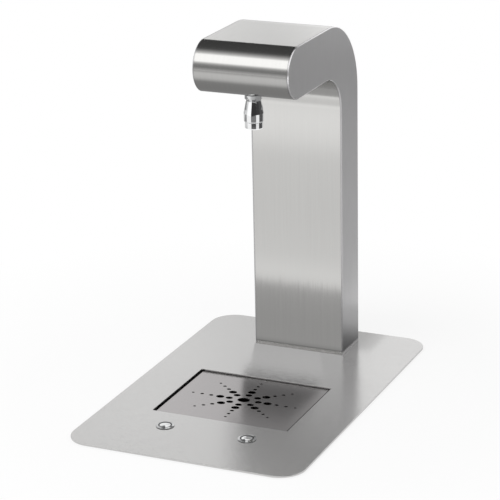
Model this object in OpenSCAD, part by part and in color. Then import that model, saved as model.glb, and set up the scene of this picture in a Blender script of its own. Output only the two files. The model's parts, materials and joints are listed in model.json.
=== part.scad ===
// Water dispensing tower that drops into a worktop.
// A thin deck plate carries a hook-shaped sheet column with one spout, a drip well
// under a star-pierced grille, and two push buttons.
// Millimetres, X to the right, Y to the back, Z up. The origin is the centre of the
// counter face, which is the underside of the seal round the deck plate.

/* [Deck plate] */
// Width of the deck plate
plate_w = 300; // [280:1:340]
// Depth of the deck plate
plate_d = 458; // [440:1:500]
// Thickness of the deck plate
plate_t = 2; // [1.5:0.1:3]
// Radius of the deck plate's corners
plate_corner_r = 32; // [24:1:40]
// Thickness of the seal under the rim
seal_t = 1; // [0.6:0.1:2]
// Width of the seal
seal_w = 10; // [6:1:12]
// Distance from the plate's edge to the seal
seal_inset = 5; // [3:1:8]
// Diameter of the four studs that hold the plate to the worktop
worktop_stud_d = 6; // [5:0.5:8]
// Length of the worktop studs below the plate
worktop_stud_len = 45; // [30:1:60]
// Distance from the seal's inner edge to a worktop stud's centre
worktop_stud_margin = 10; // [8:1:16]

/* [Drip well] */
// Width of the tray opening in the deck plate
tray_w = 178; // [150:1:200]
// Depth of the tray opening in the deck plate
tray_d = 142; // [120:1:155]
// Radius of the tray opening's corners
tray_corner_r = 1.5; // [1:0.1:4]
// Share of the deck's free depth that lies between the column and the tray opening
tray_place_share = 0.474; // [0.4:0.002:0.52]
// Sheet thickness of the well
well_wall = 1.5; // [1:0.1:2]
// Depth of the well below the plate
well_depth = 34; // [28:1:45]
// Width of the well's flange under the plate
well_flange_w = 8; // [5:1:12]
// Radius of the dished middle of the well's floor
dish_r = 52; // [45:1:56]
// Fall of the dish to the waste
dish_drop = 6; // [4:0.5:9]
// Radius of the flat seat at the bottom of the dish
dish_seat_r = 24; // [22:0.5:30]
// Width of the ledges that the grille lies on
rest_w = 9; // [7:0.5:12]
// Sheet thickness of the ledges
rest_t = 1.5; // [1:0.1:2]
// Height of a ledge's leg along the well's wall
rest_leg = 10; // [6:0.5:14]
// Distance from the grille's side to a ledge's end
rest_end_inset = 6; // [3:0.5:10]

/* [Drain grille] */
// Thickness of the grille
grille_t = 2; // [1.5:0.1:3]
// Distance from the deck's top down to the grille's top
grille_recess = 2.4; // [1:0.1:4]
// Open gap at each side of the grille
grille_side_gap = 2.8; // [1.5:0.1:3.5]
// Open gap in front of and behind the grille
grille_end_gap = 1.2; // [0.5:0.1:2]
// Number of rays of the star
star_rays = 8; // [6:1:10]
// Number of holes along a ray
star_ray_holes = 5; // [3:1:5]
// Length of the star's middle hole
star_centre_l = 16; // [12:0.5:18]
// Distance from the middle to the first hole of a ray
star_first_r = 19.6; // [18:0.1:22]
// Distance between the holes of a ray
star_pitch = 12.3; // [11:0.1:13]
// Distance that the star lies behind the grille's middle
star_shift = 2.5; // [0:0.5:5]

/* [Waste] */
// Diameter of the waste's flange
waste_flange_d = 42; // [38:1:44]
// Thickness of the waste's flange
waste_flange_t = 2; // [1.5:0.1:3]
// Thickness of the rubber ring under the flange
waste_seal_t = 1.5; // [1:0.1:2]
// Outside diameter of the waste's tube
waste_d = 22; // [20:0.5:24]
// Bore of the waste's tube
waste_bore_d = 17; // [14:0.5:18]
// Length of the waste's tube
waste_len = 26; // [24:1:34]
// Diameter of a strainer hole
strainer_hole_d = 4; // [2.5:0.1:4.5]
// Distance from the middle to the strainer holes
strainer_r = 5.5; // [5:0.1:6]
// Width across the flats of the waste's nut
waste_nut_af = 32; // [29:1:38]
// Height of the waste's nut
waste_nut_h = 7; // [5:0.5:9]
// Gap between the nut and the hose tail
tail_gap = 2; // [1:0.5:3]
// Outside diameter of the hose tail's cup
tail_cup_d = 28; // [26:0.5:34]
// Thickness of the hose tail's cup under the tube
tail_floor_t = 2.5; // [2:0.5:4]
// Diameter that the drain hose fits over
tail_d = 16; // [12:0.5:19]
// Bore of the hose tail
tail_bore_d = 12; // [8:0.5:12]
// Length of the hose tail below its cup
tail_len = 26; // [20:1:36]

/* [Tower] */
// Width over both cheeks
tower_w = 123.6; // [110:0.2:140]
// Height of the tower above the deck
tower_h = 440; // [400:1:480]
// Height of the arm
arm_h = 64; // [58:1:70]
// Reach of the arm in front of the column
arm_reach = 168.5; // [160:0.5:190]
// Depth of the column from front to back
column_d = 56; // [52:1:66]
// Distance from the column's back to the plate's edge
column_setback = 31; // [26:0.5:40]
// Radius of the bend under the arm
inner_bend_r = 49; // [35:1:60]
// Radius of the bend at the top of the back
outer_bend_r = 95; // [80:1:100]
// Thickness of the cheeks
cheek_t = 2; // [1.5:0.1:3]
// Thickness of the bent skins
skin_t = 1.5; // [1:0.1:2]

/* [Tower foot] */
// Thickness of the foot plate inside the column
foot_plate_t = 4; // [3:0.5:6]
// Diameter of the foot's studs
foot_stud_d = 6; // [5:0.5:6]
// Distance from the column's inner walls to a foot stud's centre
foot_stud_margin = 12; // [9:0.5:14]
// Length of the foot studs below the clamp plate
foot_stud_out = 12; // [9:0.5:20]
// Thickness of the clamp plate under the deck
clamp_t = 3; // [2:0.5:5]
// Distance that the clamp plate reaches past the tower
clamp_margin = 6; // [3:0.5:8]
// Diameter of a foot washer
foot_washer_d = 12.5; // [11.5:0.1:14]
// Thickness of a foot washer
foot_washer_t = 1.6; // [1:0.1:2]
// Width across the flats of a foot nut
foot_nut_af = 10; // [9:0.5:11]
// Height of a foot nut
foot_nut_h = 5; // [4:0.1:6]

/* [Spout] */
// Distance from the column's front to the spout's axis
spout_reach = 129.5; // [110:0.5:140]
// Thread diameter of the spout's shank
shank_d = 14; // [13:0.2:14.6]
// Bore of the shank
shank_bore_d = 8; // [6:0.2:9]
// Height of the shank above the arm's lower sheet
shank_rise = 22; // [20:0.5:23]
// Length of the shank below the collar
shank_drop = 15; // [12:0.5:20]
// Thickness of the seal over the collar
spout_seal_t = 1; // [0.6:0.1:1.5]
// Diameter of the collar under the arm
collar_d = 21.4; // [20:0.1:24]
// Height of the collar
collar_h = 5.7; // [4:0.1:7]
// Bevel of the collar's lower edge
collar_bevel = 0.7; // [0.4:0.1:1]
// Diameter of the washer in the arm
shank_washer_d = 26; // [24:0.5:30]
// Thickness of the washer in the arm
shank_washer_t = 1.6; // [1:0.1:2]
// Width across the flats of the shank's nut
shank_nut_af = 19; // [18:0.5:22]
// Height of the shank's nut
shank_nut_h = 6; // [4:0.5:7]
// Height of the nozzle's slim neck under the collar
neck_h = 1.5; // [1:0.1:3]
// Diameter of the nozzle's neck
neck_d = 16.4; // [16:0.1:17]
// Diameter of the cone's top
cone_top_d = 18; // [17.4:0.1:20]
// Height of the nozzle's cone
cone_h = 15.8; // [12:0.1:20]
// Largest diameter of the nozzle, where the cone meets the band
band_d = 24.6; // [23.6:0.1:27]
// Height of the band under the cone
band_h = 9.9; // [7:0.1:13]
// Amount that the band's radius falls off towards its foot
band_taper = 0.25; // [0:0.05:0.4]
// Bevel of the band's foot
band_bevel = 0.5; // [0.3:0.1:0.8]
// Thin joint between the nozzle and the outlet ring
joint_h = 0.4; // [0.2:0.1:0.8]
// Diameter of the outlet ring
outlet_d = 22.2; // [21.6:0.1:23]
// Height of the outlet ring
outlet_h = 8.6; // [7.5:0.1:11]
// Roundness of the outlet ring's foot
outlet_round_r = 1.3; // [0.6:0.1:1.6]
// Diameter of the nozzle's spigot inside the outlet ring
spigot_d = 19.2; // [18.8:0.1:19.4]
// Height of the nozzle's spigot inside the outlet ring
spigot_h = 4; // [3:0.1:4.5]
// Bore of the nozzle's chamber
chamber_d = 16.8; // [15:0.1:17]
// Thickness of the washer over the flow insert
outlet_washer_t = 0.7; // [0.5:0.1:1]
// Thickness of the flow insert
insert_t = 2.6; // [2:0.1:2.8]
// Diameter of a hole in the flow insert
insert_hole_d = 1.6; // [1:0.1:1.8]
// Bore of the outlet ring's lip
lip_bore_d = 15.2; // [14:0.1:16]

/* [Water lines] */
// Outside diameter of a water line
line_d = 8; // [6:0.2:8.4]
// Bore of a water line
line_bore_d = 6; // [4:0.2:6]
// Bend radius of a water line
line_bend_r = 60; // [50:1:70]
// Distance from the middle to each water line
line_x = 13; // [12.5:0.5:16]
// Distance from the back skin to a water line's axis
line_back_gap = 12.5; // [12:0.1:14]
// Length of a line inside its fitting
line_insert = 15; // [10:0.5:16]
// Width of the branch fitting's block from front to back
wye_d = 24; // [22:0.5:28]
// Height of the branch fitting's block
wye_h = 20; // [18:0.5:22]
// Wall of the branch fitting outside a line
wye_wall = 3.8; // [3:0.1:5]
// Diameter of the branch fitting's neck
wye_neck_d = 24; // [20:0.5:26]
// Length of the branch fitting's sockets
wye_socket_len = 20; // [18:0.5:24]
// Height of a saddle that holds both lines
saddle_h = 14; // [10:1:20]
// Wall of a saddle outside a line
saddle_wall = 4; // [3:0.5:6]
// Body diameter of a bulkhead union
union_d = 14; // [13:0.2:15]
// Height of a union above the foot plate
union_rise = 20; // [18:0.5:30]
// Length of a union below the clamp plate
union_drop = 32; // [28:0.5:40]
// Width across the flats of a union's hexagon and nut
union_af = 19; // [18:0.5:20]
// Height of a union's hexagon
union_hex_h = 6; // [4:0.5:8]
// Height of a union's nut
union_nut_h = 6; // [4:0.5:8]

/* [Push buttons] */
// Distance from the middle to each button
button_x = 53.6; // [35:0.2:80]
// Share of the deck's depth in front of the tray that lies behind the buttons' axes
button_place_share = 0.311; // [0.28:0.001:0.5]
// Diameter of a button's bezel
bezel_d = 22.4; // [21.6:0.1:24]
// Height of the bezel above its seal
bezel_h = 1; // [0.8:0.1:2.5]
// Height of the bezel's outer rim
bezel_rim_h = 0.4; // [0.2:0.1:0.7]
// Width of the bezel's flat crest
bezel_crest_w = 0.8; // [0.4:0.1:1.2]
// Diameter of the threaded barrel
barrel_d = 19; // [18.4:0.1:19.4]
// Length of the barrel below the bezel
barrel_len = 25.5; // [24:0.5:32]
// Diameter of the visible cap
cap_d = 15; // [14.2:0.1:15.4]
// Height that the cap stands proud of the bezel
cap_proud = 0.3; // [0.2:0.1:1]
// Height of the cap's slight dome
cap_dome_h = 0.3; // [0.2:0.1:0.6]
// Width of the cap's retaining step
cap_step = 0.5; // [0.4:0.1:0.7]
// Depth of the cap's upper part below the bezel's crest
cap_neck_h = 3.5; // [3:0.1:4]
// Height of the cap's skirt
cap_skirt_h = 3.6; // [3:0.1:4]
// Travel of the cap
cap_travel = 2; // [1:0.1:2.2]
// Diameter of the cap's push pin
pin_d = 4; // [3:0.1:4.4]
// Length of the push pin inside the switch
pin_reach = 4.5; // [3:0.1:6]
// Free depth left under the pressed pin
pin_spare = 0.5; // [0.3:0.1:1]
// Thickness of the barrel's inner floor
barrel_floor_t = 2; // [1.5:0.1:2.5]
// Height of the spring at rest
spring_h = 6; // [5:0.1:7]
// Diameter of the spring over its coils
spring_d = 10.6; // [9.6:0.1:11.4]
// Wire diameter of the spring
spring_wire_d = 0.7; // [0.5:0.1:0.8]
// Thickness of the seal under the bezel
button_seal_t = 0.4; // [0.3:0.1:1]
// Width across the flats of a button's nut
button_nut_af = 24; // [22.5:0.5:26]
// Height of a button's nut
button_nut_h = 4; // [3:0.5:6]
// Diameter of the switch under the barrel
switch_d = 17; // [16:0.2:18.4]
// Height of the switch under the barrel
switch_h = 14; // [10:0.5:20]
// Width of a terminal blade
blade_w = 2.8; // [2:0.1:4]
// Thickness of a terminal blade
blade_t = 0.5; // [0.4:0.1:0.8]
// Length of a terminal blade
blade_len = 8; // [5:0.5:10]
// Distance from the switch's middle to a blade
blade_x = 4; // [3:0.1:5.5]

/* [Hidden] */
$fn = 64;
overrun = 0.5;
// Gaps round a threaded or pushed-in fit, a sliding cap, a panel hole and a seated sheet
fit_gap = 0.05;
slide_gap = 0.1;
panel_gap = 0.25;
seat_gap = 0.1;

deck_low = seal_t;
deck_top = deck_low + plate_t;
seal_inner_w = plate_w - 2 * (seal_inset + seal_w);
seal_inner_d = plate_d - 2 * (seal_inset + seal_w);
worktop_stud_x = seal_inner_w / 2 - worktop_stud_margin;
worktop_stud_y = seal_inner_d / 2 - worktop_stud_margin;

column_back = plate_d / 2 - column_setback;
column_y = column_back - column_d;
column_mid_y = column_back - column_d / 2;
tower_top = deck_top + tower_h;
arm_low = tower_top - arm_h;
nose_r = arm_h / 2;
nose_tip = column_y - arm_reach;
nose_y = nose_tip + nose_r;
nose_z = tower_top - nose_r;
inner_bend_y = column_y - inner_bend_r;
inner_bend_z = arm_low - inner_bend_r;
skin_w = tower_w - 2 * cheek_t;

free_depth = column_y + plate_d / 2 - tray_d;
tray_back = column_y - free_depth * tray_place_share;
tray_front = tray_back - tray_d;
tray_y = tray_back - tray_d / 2;
well_floor = deck_low - well_depth;
dish_floor = well_floor - dish_drop;
grille_low = deck_top - grille_recess - grille_t;
grille_w = tray_w - 2 * grille_side_gap;
grille_d = tray_d - 2 * grille_end_gap;
star_depth_share = tray_d / tray_w;
// Lengths of a ray's holes, as shares of the middle hole's
star_hole_shares = [0.56, 0.66, 0.34, 0.29, 0.23];
oval_sides = 24;

waste_flange_low = dish_floor + waste_seal_t;
waste_low = waste_flange_low - waste_len;
waste_nut_top = dish_floor - well_wall;
tail_top = waste_nut_top - waste_nut_h - tail_gap;
tail_floor = waste_low - tail_floor_t;
tail_low = tail_floor - tail_len;
strainer_holes = 6;

foot_top = deck_top + foot_plate_t;
clamp_low = deck_low - clamp_t;
foot_stud_x = skin_w / 2 - foot_stud_margin;
foot_stud_dy = column_d / 2 - skin_t - foot_stud_margin;

spout_y = column_y - spout_reach;
spout_inner = arm_low + skin_t;
collar_top = arm_low - spout_seal_t;
collar_low = collar_top - collar_h;
shank_low = collar_low - shank_drop;
shank_top = spout_inner + shank_rise;
shank_nut_low = spout_inner + shank_washer_t;
cone_top = collar_low - neck_h;
band_top = cone_top - cone_h;
band_low = band_top - band_h;
outlet_top = band_low - joint_h;
outlet_low = outlet_top - outlet_h;
spigot_low = outlet_top - spigot_h;
chamber_top = shank_low - joint_h;
insert_top = spigot_low - outlet_washer_t;
insert_low = insert_top - insert_t;
insert_d = spigot_d - 2 * joint_h;
// Rings of holes in the flow insert, as shares of its radius
insert_ring_shares = [0.36, 0.7];
insert_ring_holes = 6;

line_z = nose_z;
line_y = column_back - skin_t - line_back_gap;
line_bend_y = line_y - line_bend_r;
wye_low = shank_nut_low + shank_nut_h + slide_gap;
socket_end = spout_y + wye_d / 2 + wye_socket_len;
line_end_y = socket_end - line_insert;
union_top = foot_top + union_rise;
union_low = clamp_low - union_drop;
line_low = union_top - line_insert;
// Heights of the saddles, as shares of the lines' height over the foot
saddle_shares = [0.3, 0.65];

button_y = tray_front - (tray_front + plate_d / 2) * button_place_share;
bezel_low = deck_top + button_seal_t;
bezel_top = bezel_low + bezel_h;
barrel_low = bezel_low - barrel_len;
cap_top = bezel_top + cap_proud;
cap_r = cap_d / 2;
skirt_r = cap_r + cap_step;
skirt_top = bezel_top - cap_neck_h;
skirt_low = skirt_top - cap_skirt_h;
spring_low = skirt_low - spring_h;
barrel_floor_low = spring_low - barrel_floor_t;
pin_low = barrel_floor_low - pin_reach;
pin_bore_low = pin_low - cap_travel - pin_spare;
switch_low = barrel_low - switch_h;
bezel_crest_r = cap_r + slide_gap + bezel_crest_w;
spring_turns = 4;
spring_steps = 12;
wire_sides = 6;

// Shapes that several pieces share

module rounded_rect(w, d, r) {
    square([w - 2 * r, d], center = true);
    square([w, d - 2 * r], center = true);
    for (sx = [-1, 1], sy = [-1, 1])
        translate([sx * (w / 2 - r), sy * (d / 2 - r)])
            circle(r);
}

module slab(w, d, r, low, high) {
    translate([0, 0, low])
        linear_extrude(high - low)
            rounded_rect(w, d, r);
}

module bar(d, low, high) {
    translate([0, 0, low])
        cylinder(d = d, h = high - low);
}

module drill(d, low, high) {
    bar(d, low - overrun, high + overrun);
}

module pipe(d, bore, low, high) {
    difference() {
        bar(d, low, high);
        drill(bore, low, high);
    }
}

module hex_ring(af, bore, low, high) {
    difference() {
        translate([0, 0, low])
            rotate(30)
                cylinder(d = af / cos(30), h = high - low, $fn = 6);
        drill(bore, low, high);
    }
}

// A section drawn in Y and Z, run along X for a width
module across(width) {
    rotate([90, 0, 90])
        linear_extrude(width, center = true)
            children();
}

module worktop_stud_places() {
    for (sx = [-1, 1], sy = [-1, 1])
        translate([sx * worktop_stud_x, sy * worktop_stud_y, 0])
            children();
}

module foot_stud_places() {
    for (sx = [-1, 1], sy = [-1, 1])
        translate([sx * foot_stud_x, column_mid_y + sy * foot_stud_dy, 0])
            children();
}

module union_place(side) {
    translate([side * line_x, line_y, 0])
        children();
}

module button_place(side) {
    translate([side * button_x, button_y, 0])
        children();
}

module foot_holes(low, high) {
    foot_stud_places()
        drill(foot_stud_d + 2 * panel_gap, low, high);
    for (side = [-1, 1])
        union_place(side)
            drill(union_d + 2 * panel_gap, low, high);
}

// Deck plate, its seal and its studs

module base_plate() {
    color("silver")
        difference() {
            slab(plate_w, plate_d, plate_corner_r, deck_low, deck_top);
            translate([0, tray_y, 0])
                slab(tray_w, tray_d, tray_corner_r, deck_low - overrun, deck_top + overrun);
            for (side = [-1, 1])
                button_place(side)
                    drill(barrel_d + 2 * panel_gap, deck_low, deck_top);
            foot_holes(deck_low, deck_top);
        }
}

module counter_seal() {
    outer_inset = 2 * seal_inset;
    inner_inset = 2 * (seal_inset + seal_w);
    color("dimgray")
        difference() {
            slab(plate_w - outer_inset, plate_d - outer_inset, plate_corner_r - seal_inset, 0, deck_low);
            slab(
                plate_w - inner_inset, plate_d - inner_inset, plate_corner_r - seal_inset - seal_w,
                -overrun, deck_low + overrun
            );
        }
}

module worktop_studs() {
    color("gainsboro")
        worktop_stud_places()
            bar(worktop_stud_d, deck_low - worktop_stud_len, deck_low);
}

// Drip well with its ledges, grille and waste

module drip_well() {
    box_w = tray_w + 2 * well_wall;
    box_d = tray_d + 2 * well_wall;
    box_r = tray_corner_r + well_wall;
    color("darkgray")
        translate([0, tray_y, 0])
            difference() {
                union() {
                    slab(box_w, box_d, box_r, well_floor - well_wall, deck_low);
                    slab(
                        box_w + 2 * well_flange_w, box_d + 2 * well_flange_w, box_r + well_flange_w,
                        deck_low - well_wall, deck_low
                    );
                    translate([0, 0, dish_floor - well_wall])
                        cylinder(r1 = dish_seat_r, r2 = dish_r, h = dish_drop);
                }
                slab(tray_w, tray_d, tray_corner_r, well_floor, deck_low + overrun);
                translate([0, 0, dish_floor])
                    cylinder(r1 = dish_seat_r, r2 = dish_r, h = dish_drop);
                drill(waste_d + 2 * panel_gap, dish_floor - well_wall, dish_floor);
            }
}

module grille_rest(side) {
    color("gray")
        translate([0, tray_y, 0])
            mirror([0, side > 0 ? 1 : 0, 0])
                across(grille_w - 2 * rest_end_inset)
                    translate([-tray_d / 2, grille_low]) {
                        translate([0, -rest_t])
                            square([rest_w, rest_t]);
                        translate([0, -rest_leg])
                            square([rest_t, rest_leg]);
                    }
}

module oval(length) {
    polygon([
        for (k = [0:oval_sides - 1])
            let (a = 360 * k / oval_sides)
                [length / 2 * cos(a), length / 2 * star_depth_share * sin(a)]
    ]);
}

// Eight rays of holes round a middle hole, narrower from front to back as the tray is
module star() {
    oval(star_centre_l);
    for (ray = [0:star_rays - 1], k = [0:star_ray_holes - 1])
        let (a = 360 * ray / star_rays, r = star_first_r + k * star_pitch)
            translate([r * cos(a), r * star_depth_share * sin(a)])
                oval(star_centre_l * star_hole_shares[k]);
}

module drain_grille() {
    color("dimgray")
        translate([0, tray_y, grille_low])
            linear_extrude(grille_t)
                difference() {
                    rounded_rect(grille_w, grille_d, tray_corner_r);
                    translate([0, star_shift])
                        star();
                }
}

module waste_body() {
    color("gainsboro")
        translate([0, tray_y, 0])
            difference() {
                union() {
                    bar(waste_flange_d, waste_flange_low, waste_flange_low + waste_flange_t);
                    bar(waste_d, waste_low, waste_flange_low + waste_flange_t);
                }
                bar(waste_bore_d, waste_low - overrun, waste_flange_low);
                drill(strainer_hole_d, waste_flange_low, waste_flange_low + waste_flange_t);
                for (k = [0:strainer_holes - 1])
                    rotate(360 * k / strainer_holes)
                        translate([strainer_r, 0, 0])
                            drill(strainer_hole_d, waste_flange_low, waste_flange_low + waste_flange_t);
            }
}

module waste_seal() {
    color("black")
        translate([0, tray_y, 0])
            pipe(waste_flange_d, waste_d + 2 * panel_gap, dish_floor, waste_flange_low);
}

module waste_nut() {
    color("white")
        translate([0, tray_y, 0])
            hex_ring(waste_nut_af, waste_d + 2 * fit_gap, waste_nut_top - waste_nut_h, waste_nut_top);
}

module hose_tail() {
    color("white")
        translate([0, tray_y, 0])
            difference() {
                union() {
                    bar(tail_cup_d, tail_floor, tail_top);
                    bar(tail_d, tail_low, tail_floor);
                }
                bar(waste_d + 2 * fit_gap, waste_low, tail_top + overrun);
                drill(tail_bore_d, tail_low, waste_low);
            }
}

// Tower: side outline, cheeks and bent skins

// The open space under the arm, grown by an inset
module glass_space(inset) {
    low = -overrun - inset;
    front = nose_tip - overrun;
    translate([front, low])
        square([inner_bend_y - front, arm_low + inset - low]);
    translate([front, low])
        square([column_y + inset - front, inner_bend_z - low]);
    translate([inner_bend_y, inner_bend_z])
        circle(inner_bend_r + inset);
}

module tower_outline(inset, foot) {
    bend = outer_bend_r - inset;
    back = column_back - inset;
    top = tower_top - inset;
    difference() {
        union() {
            translate([nose_y, nose_z])
                circle(nose_r - inset);
            translate([nose_y, foot])
                square([back - bend - nose_y, top - foot]);
            translate([nose_y, foot])
                square([back - nose_y, top - bend - foot]);
            translate([back - bend, top - bend])
                circle(bend);
        }
        glass_space(inset);
    }
}

module skin_section() {
    difference() {
        tower_outline(0, deck_top);
        tower_outline(skin_t, deck_top - overrun);
    }
}

// The part of the section that is the column's front and the bend under the arm
module front_section_area() {
    translate([inner_bend_y, deck_top - overrun])
        square([inner_bend_r + skin_t, arm_low + skin_t - deck_top + overrun]);
}

module cheek(side) {
    color("darkgray")
        translate([side * (tower_w - cheek_t) / 2, 0, 0])
            across(cheek_t)
                tower_outline(0, deck_top);
}

module front_skin() {
    color("silver")
        across(skin_w)
            intersection() {
                skin_section();
                front_section_area();
            }
}

module outer_skin() {
    color("silver")
        difference() {
            across(skin_w)
                difference() {
                    skin_section();
                    front_section_area();
                }
            translate([0, spout_y, 0])
                drill(shank_d + 2 * panel_gap, arm_low, spout_inner);
        }
}

// Foot of the tower, bolted through the deck

module foot_plate() {
    color("darkgray")
        difference() {
            translate([-skin_w / 2 + seat_gap, column_y + skin_t + seat_gap, deck_top])
                cube([
                    skin_w - 2 * seat_gap,
                    column_d - 2 * (skin_t + seat_gap),
                    foot_plate_t
                ]);
            foot_stud_places()
                drill(foot_stud_d + 2 * fit_gap, deck_top, foot_top);
            for (side = [-1, 1])
                union_place(side)
                    drill(union_d + 2 * panel_gap, deck_top, foot_top);
        }
}

module foot_studs() {
    color("gainsboro")
        foot_stud_places()
            bar(foot_stud_d, clamp_low - foot_stud_out, foot_top);
}

module clamp_plate() {
    color("darkgray")
        difference() {
            translate([-tower_w / 2 - clamp_margin, column_y - clamp_margin, clamp_low])
                cube([tower_w + 2 * clamp_margin, column_d + 2 * clamp_margin, clamp_t]);
            foot_holes(clamp_low, deck_low);
        }
}

module foot_washers() {
    color("gainsboro")
        foot_stud_places()
            pipe(foot_washer_d, foot_stud_d + 2 * panel_gap, clamp_low - foot_washer_t, clamp_low);
}

module foot_nuts() {
    top = clamp_low - foot_washer_t;
    color("gainsboro")
        foot_stud_places()
            hex_ring(foot_nut_af, foot_stud_d + 2 * fit_gap, top - foot_nut_h, top);
}

// Spout: the shank through the arm, and the nozzle under it

module spout_seal() {
    color("black")
        translate([0, spout_y, 0])
            pipe(collar_d - 2 * collar_bevel, shank_d + 2 * panel_gap, collar_top, arm_low);
}

module spout_collar() {
    r = collar_d / 2;
    bore_r = shank_d / 2 + fit_gap;
    color("whitesmoke")
        translate([0, spout_y, 0])
            rotate_extrude()
                polygon([
                    [bore_r, collar_top],
                    [r, collar_top],
                    [r, collar_low + collar_bevel],
                    [r - collar_bevel, collar_low],
                    [bore_r, collar_low]
                ]);
}

module spout_shank() {
    color("goldenrod")
        translate([0, spout_y, 0])
            pipe(shank_d, shank_bore_d, shank_low, shank_top);
}

// The washer's front edge is relieved to the inside of the nose
module shank_washer() {
    color("gainsboro")
        intersection() {
            translate([0, spout_y, 0])
                pipe(shank_washer_d, shank_d + 2 * panel_gap, arm_low, shank_nut_low);
            across(shank_washer_d + overrun)
                tower_outline(skin_t + seat_gap, deck_top);
        }
}

module shank_nut() {
    color("goldenrod")
        translate([0, spout_y, 0])
            hex_ring(shank_nut_af, shank_d + 2 * fit_gap, shank_nut_low, shank_nut_low + shank_nut_h);
}

module nozzle_body() {
    thread_r = shank_d / 2 + fit_gap;
    foot_r = band_d / 2 - band_taper;
    color("whitesmoke")
        translate([0, spout_y, 0])
            rotate_extrude()
                polygon([
                    [thread_r, collar_low],
                    [neck_d / 2, collar_low],
                    [neck_d / 2, cone_top],
                    [cone_top_d / 2, cone_top],
                    [band_d / 2, band_top],
                    [foot_r, band_low + band_bevel],
                    [foot_r - band_bevel, band_low],
                    [spigot_d / 2, band_low],
                    [spigot_d / 2, spigot_low],
                    [chamber_d / 2, spigot_low],
                    [chamber_d / 2, chamber_top],
                    [thread_r, chamber_top]
                ]);
}

module outlet_ring() {
    r = outlet_d / 2;
    inner_r = spigot_d / 2 + fit_gap;
    insert_r = insert_d / 2 + fit_gap;
    color("whitesmoke")
        translate([0, spout_y, 0])
            difference() {
                union() {
                    bar(outlet_d, outlet_low + outlet_round_r, outlet_top);
                    bar(outlet_d - 2 * outlet_round_r, outlet_low, outlet_top);
                    translate([0, 0, outlet_low + outlet_round_r])
                        rotate_extrude()
                            translate([r - outlet_round_r, 0])
                                circle(outlet_round_r);
                }
                bar(2 * inner_r, spigot_low - fit_gap, outlet_top + overrun);
                bar(2 * insert_r, insert_low - fit_gap, outlet_top);
                drill(lip_bore_d, outlet_low, outlet_top);
            }
}

module outlet_washer() {
    color("black")
        translate([0, spout_y, 0])
            pipe(insert_d, chamber_d - 2 * joint_h, insert_top, spigot_low);
}

module flow_insert() {
    color("white")
        translate([0, spout_y, 0])
            difference() {
                bar(insert_d, insert_low, insert_top);
                drill(insert_hole_d, insert_low, insert_top);
                for (ring = [0:len(insert_ring_shares) - 1], k = [0:insert_ring_holes * (ring + 1) - 1])
                    rotate(360 * k / (insert_ring_holes * (ring + 1)))
                        translate([insert_d / 2 * insert_ring_shares[ring], 0, 0])
                            drill(insert_hole_d, insert_low, insert_top);
            }
}

// Water lines from the foot to the spout

module branch_fitting() {
    socket_d = line_d + 2 * wye_wall;
    color("white")
        difference() {
            union() {
                translate([0, spout_y, 0])
                    bar(wye_neck_d, wye_low, line_z);
                translate([-line_x - socket_d / 2, spout_y - wye_d / 2, line_z - wye_h / 2])
                    cube([2 * line_x + socket_d, wye_d, wye_h]);
                for (side = [-1, 1])
                    translate([side * line_x, spout_y, line_z])
                        rotate([-90, 0, 0])
                            bar(socket_d, 0, socket_end - spout_y);
            }
            translate([0, spout_y, 0]) {
                bar(shank_d + 2 * fit_gap, wye_low - overrun, shank_top + fit_gap);
                bar(line_bore_d, shank_top, line_z);
            }
            translate([-line_x, spout_y, line_z])
                rotate([0, 90, 0])
                    bar(line_bore_d, 0, 2 * line_x);
            for (side = [-1, 1])
                translate([side * line_x, spout_y, line_z])
                    rotate([-90, 0, 0]) {
                        bar(line_bore_d, 0, line_end_y - spout_y);
                        bar(
                            line_d + 2 * fit_gap,
                            line_end_y - spout_y - fit_gap, socket_end - spout_y + overrun
                        );
                    }
        }
}

// The run of a water line as a round bar, a little longer at both ends for its bore
module line_run(d, extra) {
    translate([0, line_end_y - extra, line_z])
        rotate([-90, 0, 0])
            bar(d, 0, line_bend_y - line_end_y + extra);
    translate([0, line_bend_y, line_z - line_bend_r])
        rotate([90, 0, 90])
            rotate_extrude(angle = 90)
                translate([line_bend_r, 0])
                    circle(d = d);
    translate([0, line_y, 0])
        bar(d, line_low - extra, line_z - line_bend_r);
}

module water_line(side, shade) {
    color(shade)
        translate([side * line_x, 0, 0])
            difference() {
                line_run(line_d, 0);
                line_run(line_bore_d, overrun);
            }
}

module line_saddles() {
    half_w = line_x + line_d / 2 + saddle_wall;
    front = line_y - line_d / 2 - saddle_wall;
    back = column_back - skin_t;
    color("white")
        for (share = saddle_shares)
            let (low = foot_top + share * (line_z - foot_top) - saddle_h / 2)
                difference() {
                    translate([-half_w, front, low])
                        cube([2 * half_w, back - front, saddle_h]);
                    for (side = [-1, 1])
                        translate([side * line_x, line_y, 0])
                            drill(line_d + 2 * fit_gap, low, low + saddle_h);
                }
}

module bulkhead_union(side) {
    port_d = line_d + 2 * fit_gap;
    color("gainsboro")
        union_place(side)
            difference() {
                union() {
                    bar(union_d, union_low, union_top);
                    hex_ring(union_af, line_d, foot_top, foot_top + union_hex_h);
                }
                drill(line_bore_d, union_low, union_top);
                bar(port_d, line_low - fit_gap, union_top + overrun);
                bar(port_d, union_low - overrun, union_low + line_insert);
            }
}

module union_nuts() {
    color("gainsboro")
        for (side = [-1, 1])
            union_place(side)
                hex_ring(union_af, union_d + 2 * fit_gap, clamp_low - union_nut_h, clamp_low);
}

// Push buttons

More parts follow.
